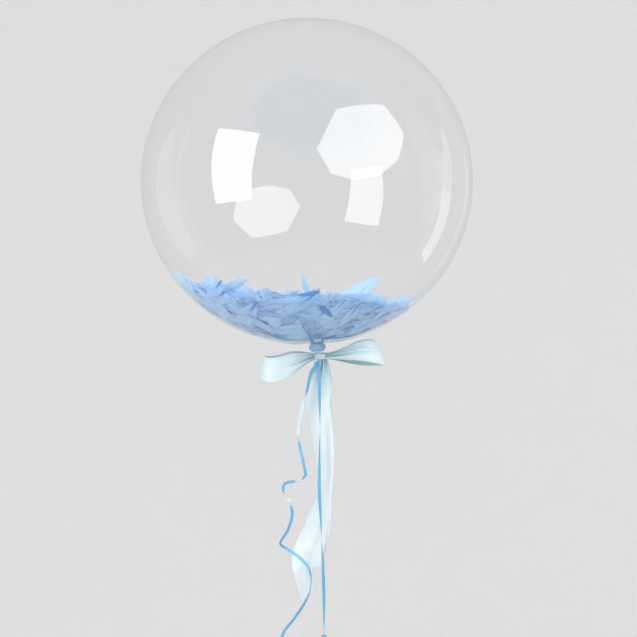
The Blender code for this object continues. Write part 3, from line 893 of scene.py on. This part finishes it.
deep_pleat = film_look("deep_pleat", DEEP_PLEAT_SHADE_TINT, 0.10, 4.0, 0.06)
fine_pleat = film_look("fine_pleat", FINE_PLEAT_SHADE_TINT, 0.10, 4.0, 0.06)
low_film = [row for row in film_profile() if row[1] < 0.1 and row[0] > STEM_RADIUS + 0.001]
low_radii, low_heights = np.array(low_film[::-1]).T
turns = [2 * math.pi * j / PLEAT_SIDES for j in range(PLEAT_SIDES)]
for k, (start_angle, end_angle, start, end, width) in enumerate(PLEATS):
    rings = []
    for i in range(PLEAT_STEPS + 1):
        t = i / PLEAT_STEPS
        radius = start + (end - start) * t
        degrees = start_angle + (end_angle - start_angle) * ease(t) + 3 * math.sin(5 * t + k)
        angle = math.radians(degrees)
        height = float(np.interp(radius, low_radii, low_heights))
        out = Vector((math.cos(angle), math.sin(angle), 0.0))
        side = Vector((-math.sin(angle), math.cos(angle), 0.0))
        under = (out * height * 2 - Vector((0.0, 0.0, 1.0))).normalized()
        half = width / 2 * ease(3 * t + 0.3) * (1 - t) ** 0.8 + PLEAT_TIP
        centre = out * radius + Vector((0.0, 0.0, height)) + under * 0.0003
        ring = []
        for turn in turns:
            spot = side * half * math.cos(turn) + under * half * (0.4 * math.sin(turn))
            ring.append(NECK_FRAME @ (centre + spot))
        rings.append(ring)
    pleat = skin(f"film_pleat_{k}", rings, deep_pleat if width > DEEP_PLEAT else fine_pleat)
    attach(pleat, "root")

# Feathers
# A few handfuls of goose feathers, dyed pale blue, that lie loose in the bottom of the ball on a bed
# of down. Each has a quill and two broad vanes, which split here and there and thin out at the edge.
FEATHER_SHAPES = (  # sweep, share of the width, bluntness (less is blunter), and how early it widens
    (-0.16, 1.00, 0.55, 0.85),
    (-0.10, 1.05, 1.00, 0.45),
    (-0.20, 1.10, 0.50, 0.85),
    (-0.04, 0.78, 1.00, 0.50),
    (0.06, 0.75, 0.70, 0.75),
    (-0.13, 0.95, 0.60, 0.85),
)
FEATHER_LENGTH = 0.088
FEATHER_WIDTH = 0.040
VANE_ROWS = 15
VANE_COLUMNS = 5
VANE_START = 0.10  # share of the length
VANE_END = 0.985
DOWN_BARBS = 9
BARB_STEPS = 3
BARB_WIDTH = 0.0022
QUILL_STEPS = 8
QUILL_END = 0.96
QUILL_RADIUS = 0.00065
FEATHER_SEED = 41
FILM_CLEARANCE = 0.0006
HEAP_CLEARANCE = 0.0018
PRESSED_FROM = 0.985  # share of the way out to the film
NECK_REACH = 0.05  # radius round the neck within which the film stands up into the ball
NECK_RISE = 0.0022
RIM_DEPTH = 0.016  # under the heap's height, where the feathers on the film start
RIM_BAND = 0.050  # and down to where they lie more or less along the rim
HEAP_SKYLINE = (  # place from left to right, and height of the heap there
    (-0.240, 0.566),
    (-0.195, 0.560),
    (-0.150, 0.553),
    (-0.110, 0.547),
    (-0.050, 0.544),
    (0.000, 0.544),
    (0.050, 0.541),
    (0.100, 0.530),
    (0.150, 0.520),
    (0.230, 0.508),
)
BED_AROUND = 96
BED_RINGS = 18
BED_INSET = 0.023  # share of the ball's radius
BED_DROP = 0.015  # under the heap's height
BED_SWELL = 0.0022
BED_CLEARANCE = 0.004
FEATHER_LIGHT = (0.530, 0.790, 1.000, 1.0)
FEATHER_BLUE = (0.300, 0.590, 1.000, 1.0)
FEATHER_DEEP = (0.030, 0.270, 0.700, 1.0)


def feather(name, sweep, cup, sway, width, point, early, dice):
    """One feather along +X, from the end of its quill, with its upper side towards +Z. It bends up by
    its sweep and sideways by its sway, and its vanes, which the dice split, droop by its cup."""
    points, faces, uvs = [], [], []

    def shaft(t):
        return np.array(
            (FEATHER_LENGTH * t, sway * FEATHER_LENGTH * t * t, sweep * FEATHER_LENGTH * t * t)
        )

    def sheet_of(rows, marks):
        """Faces between rows of points, with their marks on the UV map."""
        first = len(points)
        wide = len(rows[0])
        for row in rows:
            points.extend(row)
        for k in range(len(rows) - 1):
            for i in range(wide - 1):
                a = first + wide * k + i
                faces.append((a, a + 1, a + wide + 1, a + wide))
                uvs.append((marks[k][i], marks[k][i + 1], marks[k + 1][i + 1], marks[k + 1][i]))

    for side in (-1, 1):
        row = 0
        while row < VANE_ROWS:
            held = min(int(dice.integers(3, 9)), VANE_ROWS - row)
            drift = math.radians(float(dice.normal(0, 5.0)))
            rows, marks = [], []
            for k in range(row, row + held + 1):
                t = VANE_START + (VANE_END - VANE_START) * k / VANE_ROWS
                lean = math.radians(58 - 36 * t) + drift
                half = width / 2 * math.sin(math.pi * t**early) ** point
                reach = half / math.sin(max(lean, 0.35)) * float(dice.uniform(0.93, 1.05))
                places = []
                for i in range(VANE_COLUMNS):
                    s = i / (VANE_COLUMNS - 1)
                    bent = lean * (1 - 0.3 * s)
                    way = np.array((math.cos(bent), side * math.sin(bent), 0.0))
                    place = shaft(t) + reach * s * way
                    place[2] -= cup * (reach * s) ** 2 / width
                    place[2] += 0.0005 * s * math.sin(2.1 * k + 2 * side)
                    places.append(place)
                shares = [i / (VANE_COLUMNS - 1) for i in range(VANE_COLUMNS)]
                place_marks = [(t, 0.5 + side * 0.5 * s) for s in shares]
                rows.append(places if side > 0 else places[::-1])
                marks.append(place_marks if side > 0 else place_marks[::-1])
            sheet_of(rows, marks)
            row += held
        for i in range(DOWN_BARBS):
            t = 0.05 + 0.17 * i / DOWN_BARBS
            lean = math.radians(float(dice.uniform(45, 95)))
            reach = float(dice.uniform(0.010, 0.017))
            lift = float(dice.uniform(-0.4, 0.5))
            rows, marks = [], []
            for k in range(BARB_STEPS + 1):
                s = k / BARB_STEPS
                bent = lean + 0.8 * s * s * math.sin(9 * t + i)
                way = np.array((math.cos(bent), side * math.sin(bent), lift * s))
                place = shaft(t) + reach * s * way
                half = np.array((BARB_WIDTH / 2 * (1 - 0.8 * s), 0.0, 0.0))
                rows.append((place - half, place + half))
                marks.append(((t, 0.5 + side * 0.5 * s), (t, 0.5 + side * 0.5 * s)))
            sheet_of(rows, marks)
    for k in range(QUILL_STEPS + 1):
        t = k / QUILL_STEPS * QUILL_END
        radius = QUILL_RADIUS * (1 - 0.75 * t)
        for corner in range(4):
            turn = math.pi / 2 * corner
            points.append(shaft(t) + radius * np.array((0.0, math.cos(turn), math.sin(turn))))
    first = len(points) - 4 * (QUILL_STEPS + 1)
    for k in range(QUILL_STEPS):
        near, far = (k / QUILL_STEPS, 0.5), ((k + 1) / QUILL_STEPS, 0.5)
        for corner in range(4):
            a, b = first + 4 * k + corner, first + 4 * k + (corner + 1) % 4
            faces.append((a, b, b + 4, a + 4))
            uvs.append((near, near, far, far))
    data = bpy.data.meshes.new(name)
    data.from_pydata([tuple(p) for p in points], [], faces)
    layer = data.uv_layers.new(name="UVMap")
    for polygon, places in zip(data.polygons, uvs):
        for corner, place in zip(polygon.loop_indices, places):
            layer.data[corner].uv = place
    data.shade_smooth()
    return bpy.data.objects.new(name, data)


def placed(middle, heading, upper, size, kind, tone):
    """Where a feather lies: the middle of its length, its direction and the way its top faces."""
    heading = heading / np.linalg.norm(heading)
    upper = upper - heading * (upper @ heading)
    upper = upper / np.linalg.norm(upper)
    frame = Matrix((heading, np.cross(upper, heading), upper)).transposed()
    start = middle - heading * FEATHER_LENGTH * size / 2
    return tuple(start), tuple(frame.to_euler()), size, kind, tone


dice = np.random.default_rng(FEATHER_SEED)
kinds = bpy.data.collections.new("feather_kinds")
for i, (sweep, wide, point, early) in enumerate(FEATHER_SHAPES):
    cup = 0.12 + 0.05 * i
    sway = 0.06 * (-1) ** i
    shape = (sweep, cup, sway, FEATHER_WIDTH * wide, point, early)
    kinds.objects.link(feather(f"feather_kind_{i}", *shape, dice))

ball_middle = np.array(NECK_FRAME @ Vector((0.0, 0.0, BALL_HEIGHT / 2 - DIMPLE_DEPTH)))
sky_x, sky_z = np.array(HEAP_SKYLINE).T


def against_film(count, inset_low, inset_high):
    """Feathers that lie flat against the film, up to the heap's height."""
    made = []
    while len(made) < count:
        turn = dice.uniform(0, 2 * math.pi)
        low = math.acos(1 - dice.uniform(0.005, 0.42))
        level = math.sin(low)
        out = np.array((level * math.cos(turn), level * math.sin(turn), -math.cos(low)))
        inset = dice.uniform(inset_low, inset_high)
        middle = ball_middle + out * (BALL_DIAMETER / 2 * (1 - inset))
        below = np.interp(middle[0], sky_x, sky_z) - middle[2]
        if below < RIM_DEPTH:
            continue
        heading = np.cross(out, dice.normal(size=3))
        if below < RIM_BAND:
            along_rim = np.cross(out, (0.0, 0.0, 1.0)) * dice.choice((-1, 1))
            heading = along_rim / np.linalg.norm(along_rim) + 0.7 * (below / RIM_BAND) * heading
        upper = out + 0.18 * dice.normal(size=3)
        tone = min(dice.random() + 0.5 * max(1 - below / 0.040, 0.0), 1.0)
        size = dice.uniform(0.70, 1.05)
        kind = dice.integers(len(FEATHER_SHAPES))
        made.append(placed(middle, heading, upper, size, kind, tone))
    return made


def on_top(count, depth_low, depth_high):
    """Feathers strewn over the heap, this deep below its height."""
    made = []
    while len(made) < count:
        x, y = ball_middle[:2] + dice.uniform(-0.21, 0.21, 2)
        z = np.interp(x, sky_x, sky_z) - dice.uniform(depth_low, depth_high)
        span = (x - ball_middle[0]) ** 2 + y**2 + (z - ball_middle[2]) ** 2
        if span > (BALL_DIAMETER / 2 * 0.97) ** 2:
            continue
        turn = dice.uniform(0, 2 * math.pi)
        heading = np.array((math.cos(turn), math.sin(turn), dice.uniform(-0.12, 0.12)))
        upper = np.array((0.0, 0.0, 1.0)) + 0.22 * dice.normal(size=3)
        size = dice.uniform(0.6, 0.95)
        kind = dice.integers(len(FEATHER_SHAPES))
        tone = dice.uniform(0.4, 1.0)
        made.append(placed(np.array((x, y, z)), heading, upper, size, kind, tone))
    return made


CLOSE_TO_FILM = 0.92  # share of the ball's radius
PAST_FILM = 1.015
CHOSEN_FEATHERS = (  # tip, quill's end, way its top faces, kind and tone (2 more: its quill is dark)
    ((-0.236, -0.030, 0.574), (-0.150, -0.090, 0.522), (-0.6, -1.0, -0.6), 3, 0.60),
    ((-0.1986, -0.0985, 0.5500), (-0.1326, -0.0882, 0.5051), (-0.6, -1.0, -0.6), 3, 0.80),
    ((-0.1776, -0.1000, 0.5247), (-0.1463, -0.1580, 0.5613), (-0.6, -1.0, -0.6), 3, 2.15),
    ((-0.0350, -0.0500, 0.5700), (-0.0230, -0.0300, 0.5400), (0.0, -1.0, 0.3), 3, 1.00),
    ((-0.0392, -0.1760, 0.5371), (-0.0049, -0.1836, 0.5450), (-0.1, -1.0, -0.5), 3, 0.02),
    ((-0.0630, -0.1398, 0.5095), (-0.0106, -0.1815, 0.5421), (-0.2, -1.0, -0.8), 5, 2.30),
    ((0.0141, -0.1345, 0.5066), (-0.0078, -0.1602, 0.5224), (0.0, -1.0, -1.0), 3, 0.02),
    ((0.0010, -0.1355, 0.5051), (0.0310, -0.1627, 0.5324), (0.1, -1.0, -0.8), 2, 2.97),
    ((0.0232, -0.1077, 0.4933), (0.0501, -0.1460, 0.5254), (0.2, -1.0, -1.0), 1, 2.98),
    ((0.0753, -0.0938, 0.5051), (0.1090, -0.1007, 0.5288), (0.6, -1.0, -1.0), 5, 2.94),
    ((-0.1255, -0.0820, 0.4992), (-0.0973, -0.1522, 0.5282), (-0.4, -1.0, -0.9), 2, 2.90),
    ((-0.0805, -0.0917, 0.4873), (-0.1118, -0.1191, 0.5110), (-0.4, -1.0, -1.2), 0, 2.85),
    ((0.0800, -0.0700, 0.5740), (0.0150, -0.1450, 0.5180), (0.1, -1.0, 0.1), 3, 1.00),
    ((0.1480, -0.0600, 0.5460), (0.0750, -0.1200, 0.5100), (0.4, -1.0, -0.4), 3, 0.80),
    ((0.1324, -0.0250, 0.5215), (0.0831, -0.0846, 0.5051), (0.6, -1.0, -0.9), 3, 0.75),
)


def at_film(place):
    """The place, moved just past the film where it is close to it, to be pressed flat there."""
    away = np.array(place) - ball_middle
    span = np.linalg.norm(away)
    near = span > CLOSE_TO_FILM * BALL_DIAMETER / 2
    return ball_middle + away / span * (PAST_FILM * BALL_DIAMETER / 2 if near else span)


chosen = []
for tip, end, upper, kind, tone in CHOSEN_FEATHERS:
    tip, end = at_film(tip), at_film(end)
    size = np.linalg.norm(tip - end) / FEATHER_LENGTH
    chosen.append(placed((tip + end) / 2, tip - end, np.array(upper), size, kind, tone))

tree = bpy.data.node_groups.new("feather_heap", "GeometryNodeTree")
for title, kind in (("Places", "Geometry"), ("Feathers", "Collection"), ("Material", "Material")):
    tree.interface.new_socket(title, in_out="INPUT", socket_type="NodeSocket" + kind)
tree.interface.new_socket("Heap", in_out="OUTPUT", socket_type="NodeSocketGeometry")
wires = Wire(tree)
given = wires.node("NodeGroupInput").socket.node
places, feathers, finish = (Wire(tree, given.outputs[i]) for i in range(3))
turn, size, kind = (
    wires.node("GeometryNodeInputNamedAttribute", {"data_type": data_type}, {"Name": title})
    for title, data_type in (("turn", "FLOAT_VECTOR"), ("size", "FLOAT"), ("kind", "INT"))
)
pool = wires.node(
    "GeometryNodeCollectionInfo",
    None,
    {"Collection": feathers, "Separate Children": True, "Reset Children": True},
)
laid = wires.node(
    "GeometryNodeInstanceOnPoints",
    None,
    {
        "Points": places,
        "Instance": pool,
        "Pick Instance": True,
        "Instance Index": kind,
        "Rotation": wires.node("FunctionNodeEulerToRotation", None, {0: turn}),
        "Scale": size,
    },
)
real = wires.node("GeometryNodeRealizeInstances", None, {0: laid})
done = wires.node("GeometryNodeSetMaterial", None, {"Geometry": real, "Material": finish})
heap_output = tree.nodes.new("NodeGroupOutput")
tree.links.new(done.socket, heap_output.inputs[0])

look, wires = new_look("feather")
along, across, _ = wires.node("ShaderNodeTexCoord", output=2).axes()
tone = wires.node("ShaderNodeAttribute", {"attribute_name": "tone"}, output=2)
away = wires.math("ABSOLUTE", across - 0.5) * 2.0
barbs = ((along - away * 0.35) * 260.0).sine()
slanted = (along - away * 0.25) * 55.0
strand = wires.noise(wires.vector(slanted, away * 2.0, tone * 40.0), 1.0)
patch = wires.noise(wires.node("ShaderNodeTexCoord", output=3), 24.0)
paleness = wires.math("FRACT", tone * 0.9999)  # below 1 for a tone of 1, so that it isn't lost
share = 0.30 + 0.45 * paleness + 0.25 * along + (patch - 0.5) * 0.9 + (strand - 0.5) * 0.5
light = share.blend(FEATHER_BLUE, FEATHER_LIGHT)
quill = away.between(0.04, 0.22, 1.0, 0.0) * along.between(0.15, 0.50, 1.0, 0.05)
quill = quill * tone.between(1.4, 1.6, 0.04, 1.0)
dark = wires.math("MAXIMUM", quill * 0.95, tone.between(0.0, 0.10, 1.0, 0.0))
colour = dark.blend(light, FEATHER_DEEP)
bump = wires.bump(0.25, 0.0003, barbs * 0.4 + strand)
body = wires.node(
    "ShaderNodeBsdfPrincipled",
    None,
    {
        "Base Color": colour,
        "Roughness": 0.62,
        "Specular IOR Level": 0.3,
        "Sheen Weight": 0.3,
        "Normal": bump,
    },
)
glow = wires.node("ShaderNodeBsdfTranslucent", None, {"Color": colour})
vane = wires.mix(0.34, body, glow)
thin = away.between(0.60, 1.0) * (strand - 0.20) + along.between(0.85, 1.0, 0.0, 0.35)
air = wires.node("ShaderNodeBsdfTransparent")
feather_look = finish_look(look, wires.mix(1 - thin, air, vane))


def pressed(points, clearance):
    """The points, pressed inwards wherever they would pass the film."""
    back, there = np.array(NECK_FRAME.inverted()), np.array(NECK_FRAME)
    local = points @ back[:3, :3].T + back[:3, 3]
    middle = np.array((0.0, 0.0, BALL_HEIGHT / 2 - DIMPLE_DEPTH))
    halves = np.array((BALL_DIAMETER / 2, BALL_DIAMETER / 2, BALL_HEIGHT / 2)) - clearance
    share = np.linalg.norm((local - middle) / halves, axis=1)
    room = 1 - PRESSED_FROM
    eased = PRESSED_FROM + room * (1 - np.exp(-(share - PRESSED_FROM) / room))
    eased = np.where(share > PRESSED_FROM, eased, share)
    local = middle + (local - middle) * (eased / share)[:, None]
    near = np.hypot(local[:, 0], local[:, 1]) < NECK_REACH
    local[near, 2] = np.maximum(local[near, 2], clearance + NECK_RISE)
    return local @ there[:3, :3].T + there[:3, 3]


def heap(name, laid_out, clearance):
    """One mesh of the feathers laid out so, this far from the film at least."""
    data = bpy.data.meshes.new(name + "_places")
    data.from_pydata([row[0] for row in laid_out], [], [])
    for title, kind, values in (
        ("turn", "FLOAT_VECTOR", [row[1] for row in laid_out]),
        ("size", "FLOAT", [row[2] for row in laid_out]),
        ("kind", "INT", [row[3] for row in laid_out]),
        ("tone", "FLOAT", [row[4] for row in laid_out]),
    ):
        attribute = data.attributes.new(title, kind, "POINT")
        key = "vector" if kind == "FLOAT_VECTOR" else "value"
        precision = np.int32 if kind == "INT" else np.float32
        attribute.data.foreach_set(key, np.array(values, dtype=precision).ravel())
    holder = bpy.data.objects.new(name + "_places", data)
    bpy.context.scene.collection.objects.link(holder)
    modifier = holder.modifiers.new("heap", "NODES")
    modifier.node_group = tree
    sockets = {item.name: item.identifier for item in tree.interface.items_tree}
    modifier[sockets["Feathers"]] = kinds
    modifier[sockets["Material"]] = feather_look
    evaluated = holder.evaluated_get(bpy.context.evaluated_depsgraph_get())
    mesh = bpy.data.meshes.new_from_object(evaluated)
    bpy.data.objects.remove(holder)
    mesh.name = name
    points = np.empty(len(mesh.vertices) * 3, dtype=np.float32)
    mesh.vertices.foreach_get("co", points)
    points = pressed(points.reshape(-1, 3).astype(float), clearance)
    mesh.vertices.foreach_set("co", points.astype(np.float32).ravel())
    mesh.update()
    piece = bpy.data.objects.new(name, mesh)
    bpy.context.scene.collection.objects.link(piece)
    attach(piece, "root")


heap("feathers_on_film", against_film(250, 0.014, 0.034), HEAP_CLEARANCE)
heap("feathers_inside", against_film(60, 0.06, 0.16), HEAP_CLEARANCE)
heap("feathers_on_top", on_top(230, 0.004, 0.015), HEAP_CLEARANCE)
heap("feathers_in_front", chosen, FILM_CLEARANCE)

SPECKS_AND_GLINTS = (  # bits of down that cling to the film, and their size; the three by the neck are painted highlights, standing in for glints off the film's folds
    (-0.1415, -0.1962, 0.8234, 0.0022),
    (0.0671, -0.1988, 0.8385, 0.0026),
    (0.0757, -0.1949, 0.5900, 0.0022),
    (-0.1041, -0.1945, 0.5731, 0.0028),
    (-0.0785, -0.0828, 0.4813, 0.0052),
    (0.0669, -0.0796, 0.4932, 0.0030),
    (0.0490, -0.0773, 0.4857, 0.0024),
    (0.0510, 0.1850, 0.8100, 0.0024),
    (-0.1500, 0.1500, 0.6100, 0.0026),
)
SPECK_WHITE = (0.95, 0.97, 1.0, 1.0)
SPECK_BARBS = 7

body = {"Base Color": SPECK_WHITE, "Roughness": 0.5, "Sheen Weight": 0.5}
white_down_and_glints = thin_look(*new_look("white_down_and_glints"), 0.4, body, {"Color": SPECK_WHITE})
mesh = bmesh.new()
for x, y, z, size in SPECKS_AND_GLINTS:
    centre = Vector((x, y, z))
    out = (centre - Vector(ball_middle)).normalized()
    side = out.orthogonal().normalized()
    for k in range(SPECK_BARBS):
        turn = 2 * math.pi * (k + 0.3 * math.sin(5 * k + 9 * x)) / SPECK_BARBS
        barb = Matrix.Rotation(turn, 3, out) @ side
        edge = out.cross(barb) * size * 0.12
        tip = centre + barb * size * (0.45 + 0.15 * math.sin(3 * k + 50 * z)) - out * size * 0.25
        root = centre - out * size * 0.1
        corners = (root - edge, root + edge, tip + edge * 0.3, tip - edge * 0.3)
        mesh.faces.new([mesh.verts.new(point) for point in corners])
specks_and_glints = add_piece("film_specks", mesh, [white_down_and_glints], smooth=False)
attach(specks_and_glints, "root")

look, wires = new_look("down")
coordinates = wires.node("ShaderNodeTexCoord", output=3)
fluff = wires.noise(coordinates, 220.0, 4.0, 1.5)
patch = wires.noise(coordinates, 30.0)
colour = (patch.between(0.3, 0.7, 0.1, 0.8) + (fluff - 0.5) * 0.6).blend(FEATHER_BLUE, FEATHER_LIGHT)
bump = wires.bump(0.8, 0.0020, fluff)
body = {"Base Color": colour, "Roughness": 0.8, "Sheen Weight": 0.4, "Normal": bump}
down_look = thin_look(look, wires, 0.35, body, {"Color": colour, "Normal": bump})


def bed_top(x, y):
    """Height of the bed's top, which swells a little here and there."""
    swell = math.sin(31 * x + 2) * math.sin(27 * y)
    swell += 0.6 * math.sin(73 * x - 40 * y) * math.sin(55 * y + 1)
    return float(np.interp(x, sky_x, sky_z)) - BED_DROP + BED_SWELL * swell


def bed_under(run, angle):
    """The place on the bed's underside, this way from the middle and this angle up from its lowest."""
    down = np.array((0.0, 0.0, math.cos(angle)))
    return ball_middle + BALL_DIAMETER / 2 * (1 - BED_INSET) * (run * math.sin(angle) - down)


rings = []
for k in range(BED_RINGS):
    ring = []
    for i in range(BED_AROUND):
        around = 2 * math.pi * i / BED_AROUND
        run = np.array((math.cos(around), math.sin(around), 0.0))
        low, high = 0.0, math.pi / 2
        for _ in range(20):
            angle = (low + high) / 2
            edge = bed_under(run, angle)
            low, high = (angle, high) if edge[2] < bed_top(edge[0], edge[1]) else (low, angle)
        if k < BED_RINGS // 2:
            angle *= (k + 1) / (BED_RINGS // 2)
            place = bed_under(run, angle)
            place += run * 0.0012 * math.sin(40 * around + 7 * k)
        else:
            share = (BED_RINGS - k) / (BED_RINGS - BED_RINGS // 2 + 1)
            place = ball_middle + (edge - ball_middle) * share
            place[2] = bed_top(place[0], place[1])
        ring.append(place)
    rings.append(pressed(np.array(ring), BED_CLEARANCE))
bed = skin("feather_down", rings, down_look)
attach(bed, "root")

# Stage and light
# A turned, pale grey backdrop that curves up out of the floor all round, with an eight-sided soft
# box at the front right and an oblong one at the front left. Tall strips behind the ball at each
# side, and a card with a thin strip on it close to its right side, show as reflections in the film.
FLOOR = -0.9
STAGE_RADIUS = 6.0
STAGE_BEND = 2.8
STAGE_TOP = 7.0
STAGE_BEND_STEPS = 12
STAGE_SIDES = 96
STAGE_GREY = (0.80, 0.80, 0.80, 1.0)
WHITE = (1.0, 1.0, 1.0, 1.0)
STAGE_GLOW = 0.135
ROOM_LIGHT = 0.80

profile = [(STAGE_RADIUS * 0.1 * i, FLOOR) for i in range(1, 6)]
for i in range(1, STAGE_BEND_STEPS + 1):
    angle = math.radians(90 / STAGE_BEND_STEPS * i)
    radius = STAGE_RADIUS - STAGE_BEND * (1 - math.sin(angle))
    profile.append((radius, FLOOR + STAGE_BEND * (1 - math.cos(angle))))
profile.append((STAGE_RADIUS, STAGE_TOP))
angles = [2 * math.pi * i / STAGE_SIDES for i in range(STAGE_SIDES)]
rings = []
for radius, height in profile:
    rings.append([(radius * math.cos(angle), radius * math.sin(angle), height) for angle in angles])
mesh, loops = tube(rings)
mesh.faces.new(loops[0])
bmesh.ops.recalc_face_normals(mesh, faces=mesh.faces)
look, wires = new_look("stage_paper")
paper = wires.node(
    "ShaderNodeBsdfPrincipled",
    None,
    {
        "Base Color": STAGE_GREY,
        "Roughness": 0.95,
        "Emission Color": STAGE_GREY,
        "Emission Strength": STAGE_GLOW,
    },
)
stage = add_piece("stage", mesh, [finish_look(look, paper)])
stage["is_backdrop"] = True


def panel(name, centre, normal, corners, strength):
    """A glowing flat panel that the camera doesn't see. Its corners are across and up from its
    centre."""
    normal = Vector(normal).normalized()
    across = Vector((0.0, 0.0, 1.0)).cross(normal).normalized()
    up = normal.cross(across)
    mesh = bmesh.new()
    mesh.faces.new([mesh.verts.new(Vector(centre) + across * x + up * y) for x, y in corners])
    look, wires = new_look(name)
    glow = wires.node("ShaderNodeEmission", None, {"Color": WHITE, "Strength": strength})
    lamp = add_piece(name, mesh, [finish_look(look, glow)], smooth=False)
    lamp.visible_camera = False
    lamp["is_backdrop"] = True


OCTAGON_RADIUS = 0.554
angles = [math.radians(45 + 45 * i) for i in range(8)]
corners = [(OCTAGON_RADIUS * math.cos(a), OCTAGON_RADIUS * math.sin(a)) for a in angles]
panel("octagon_box", (0.616, -0.825, 0.947), (-0.097, 0.569, -0.817), corners, 4.5)
corners = [(-0.423, -0.647), (0.423, -0.647), (0.423, 0.647), (-0.423, 0.647)]
panel("oblong_box", (-1.242, -1.139, 0.858), (0.788, 0.553, -0.267), corners, 5.2)
STRIP_LINE = (  # across and up of the bent strip's middle, and half of its width there
    (0.00, -1.35, 0.25),
    (0.16, -0.67, 0.26),
    (0.30, 0.00, 0.27),
    (0.29, 0.45, 0.27),
    (0.05, 1.15, 0.10),
)
for name, stretch, strength in (
    ("low_strip", STRIP_LINE[:3], 2.3),
    ("high_strip", STRIP_LINE[2:], 1.6),
):
    corners = [(across + half, up) for across, up, half in stretch]
    corners += [(across - half, up) for across, up, half in stretch[::-1]]
    panel(name, (2.25, 0.95, 0.6), (-2.25, -0.95, 0.0), corners, strength)
corners = [(-0.55, -1.35), (0.35, -1.35), (0.50, 0.0), (0.40, 0.60)]
corners += [(0.05, 1.20), (-0.30, 0.90), (-0.50, 0.0)]
panel("left_strip", (-2.28, 0.74, 0.6), (2.28, -0.74, 0.0), corners, 1.18)
corners = [(-0.105, -0.27), (-0.055, -0.27), (0.020, -0.06)]
corners += [(0.030, 0.26), (-0.015, 0.26), (-0.035, -0.06)]
panel("thin_strip", (0.592, 0.4275, 0.6), (-0.8, -0.25, 0.0), corners, 1.15)
corners = [(-0.20, -0.9), (0.20, -0.9), (0.20, 1.1), (-0.20, 1.1)]
panel("card", (0.60, 0.43, 0.6), (-0.8, -0.25, 0.0), corners, 0.80)

world = bpy.data.worlds.new("studio")
world.use_nodes = True
room = world.node_tree.nodes["Background"].inputs
room["Color"].default_value = WHITE
room["Strength"].default_value = ROOM_LIGHT
bpy.context.scene.world = world
bpy.context.scene.view_settings.view_transform = "Standard"

low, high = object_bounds()
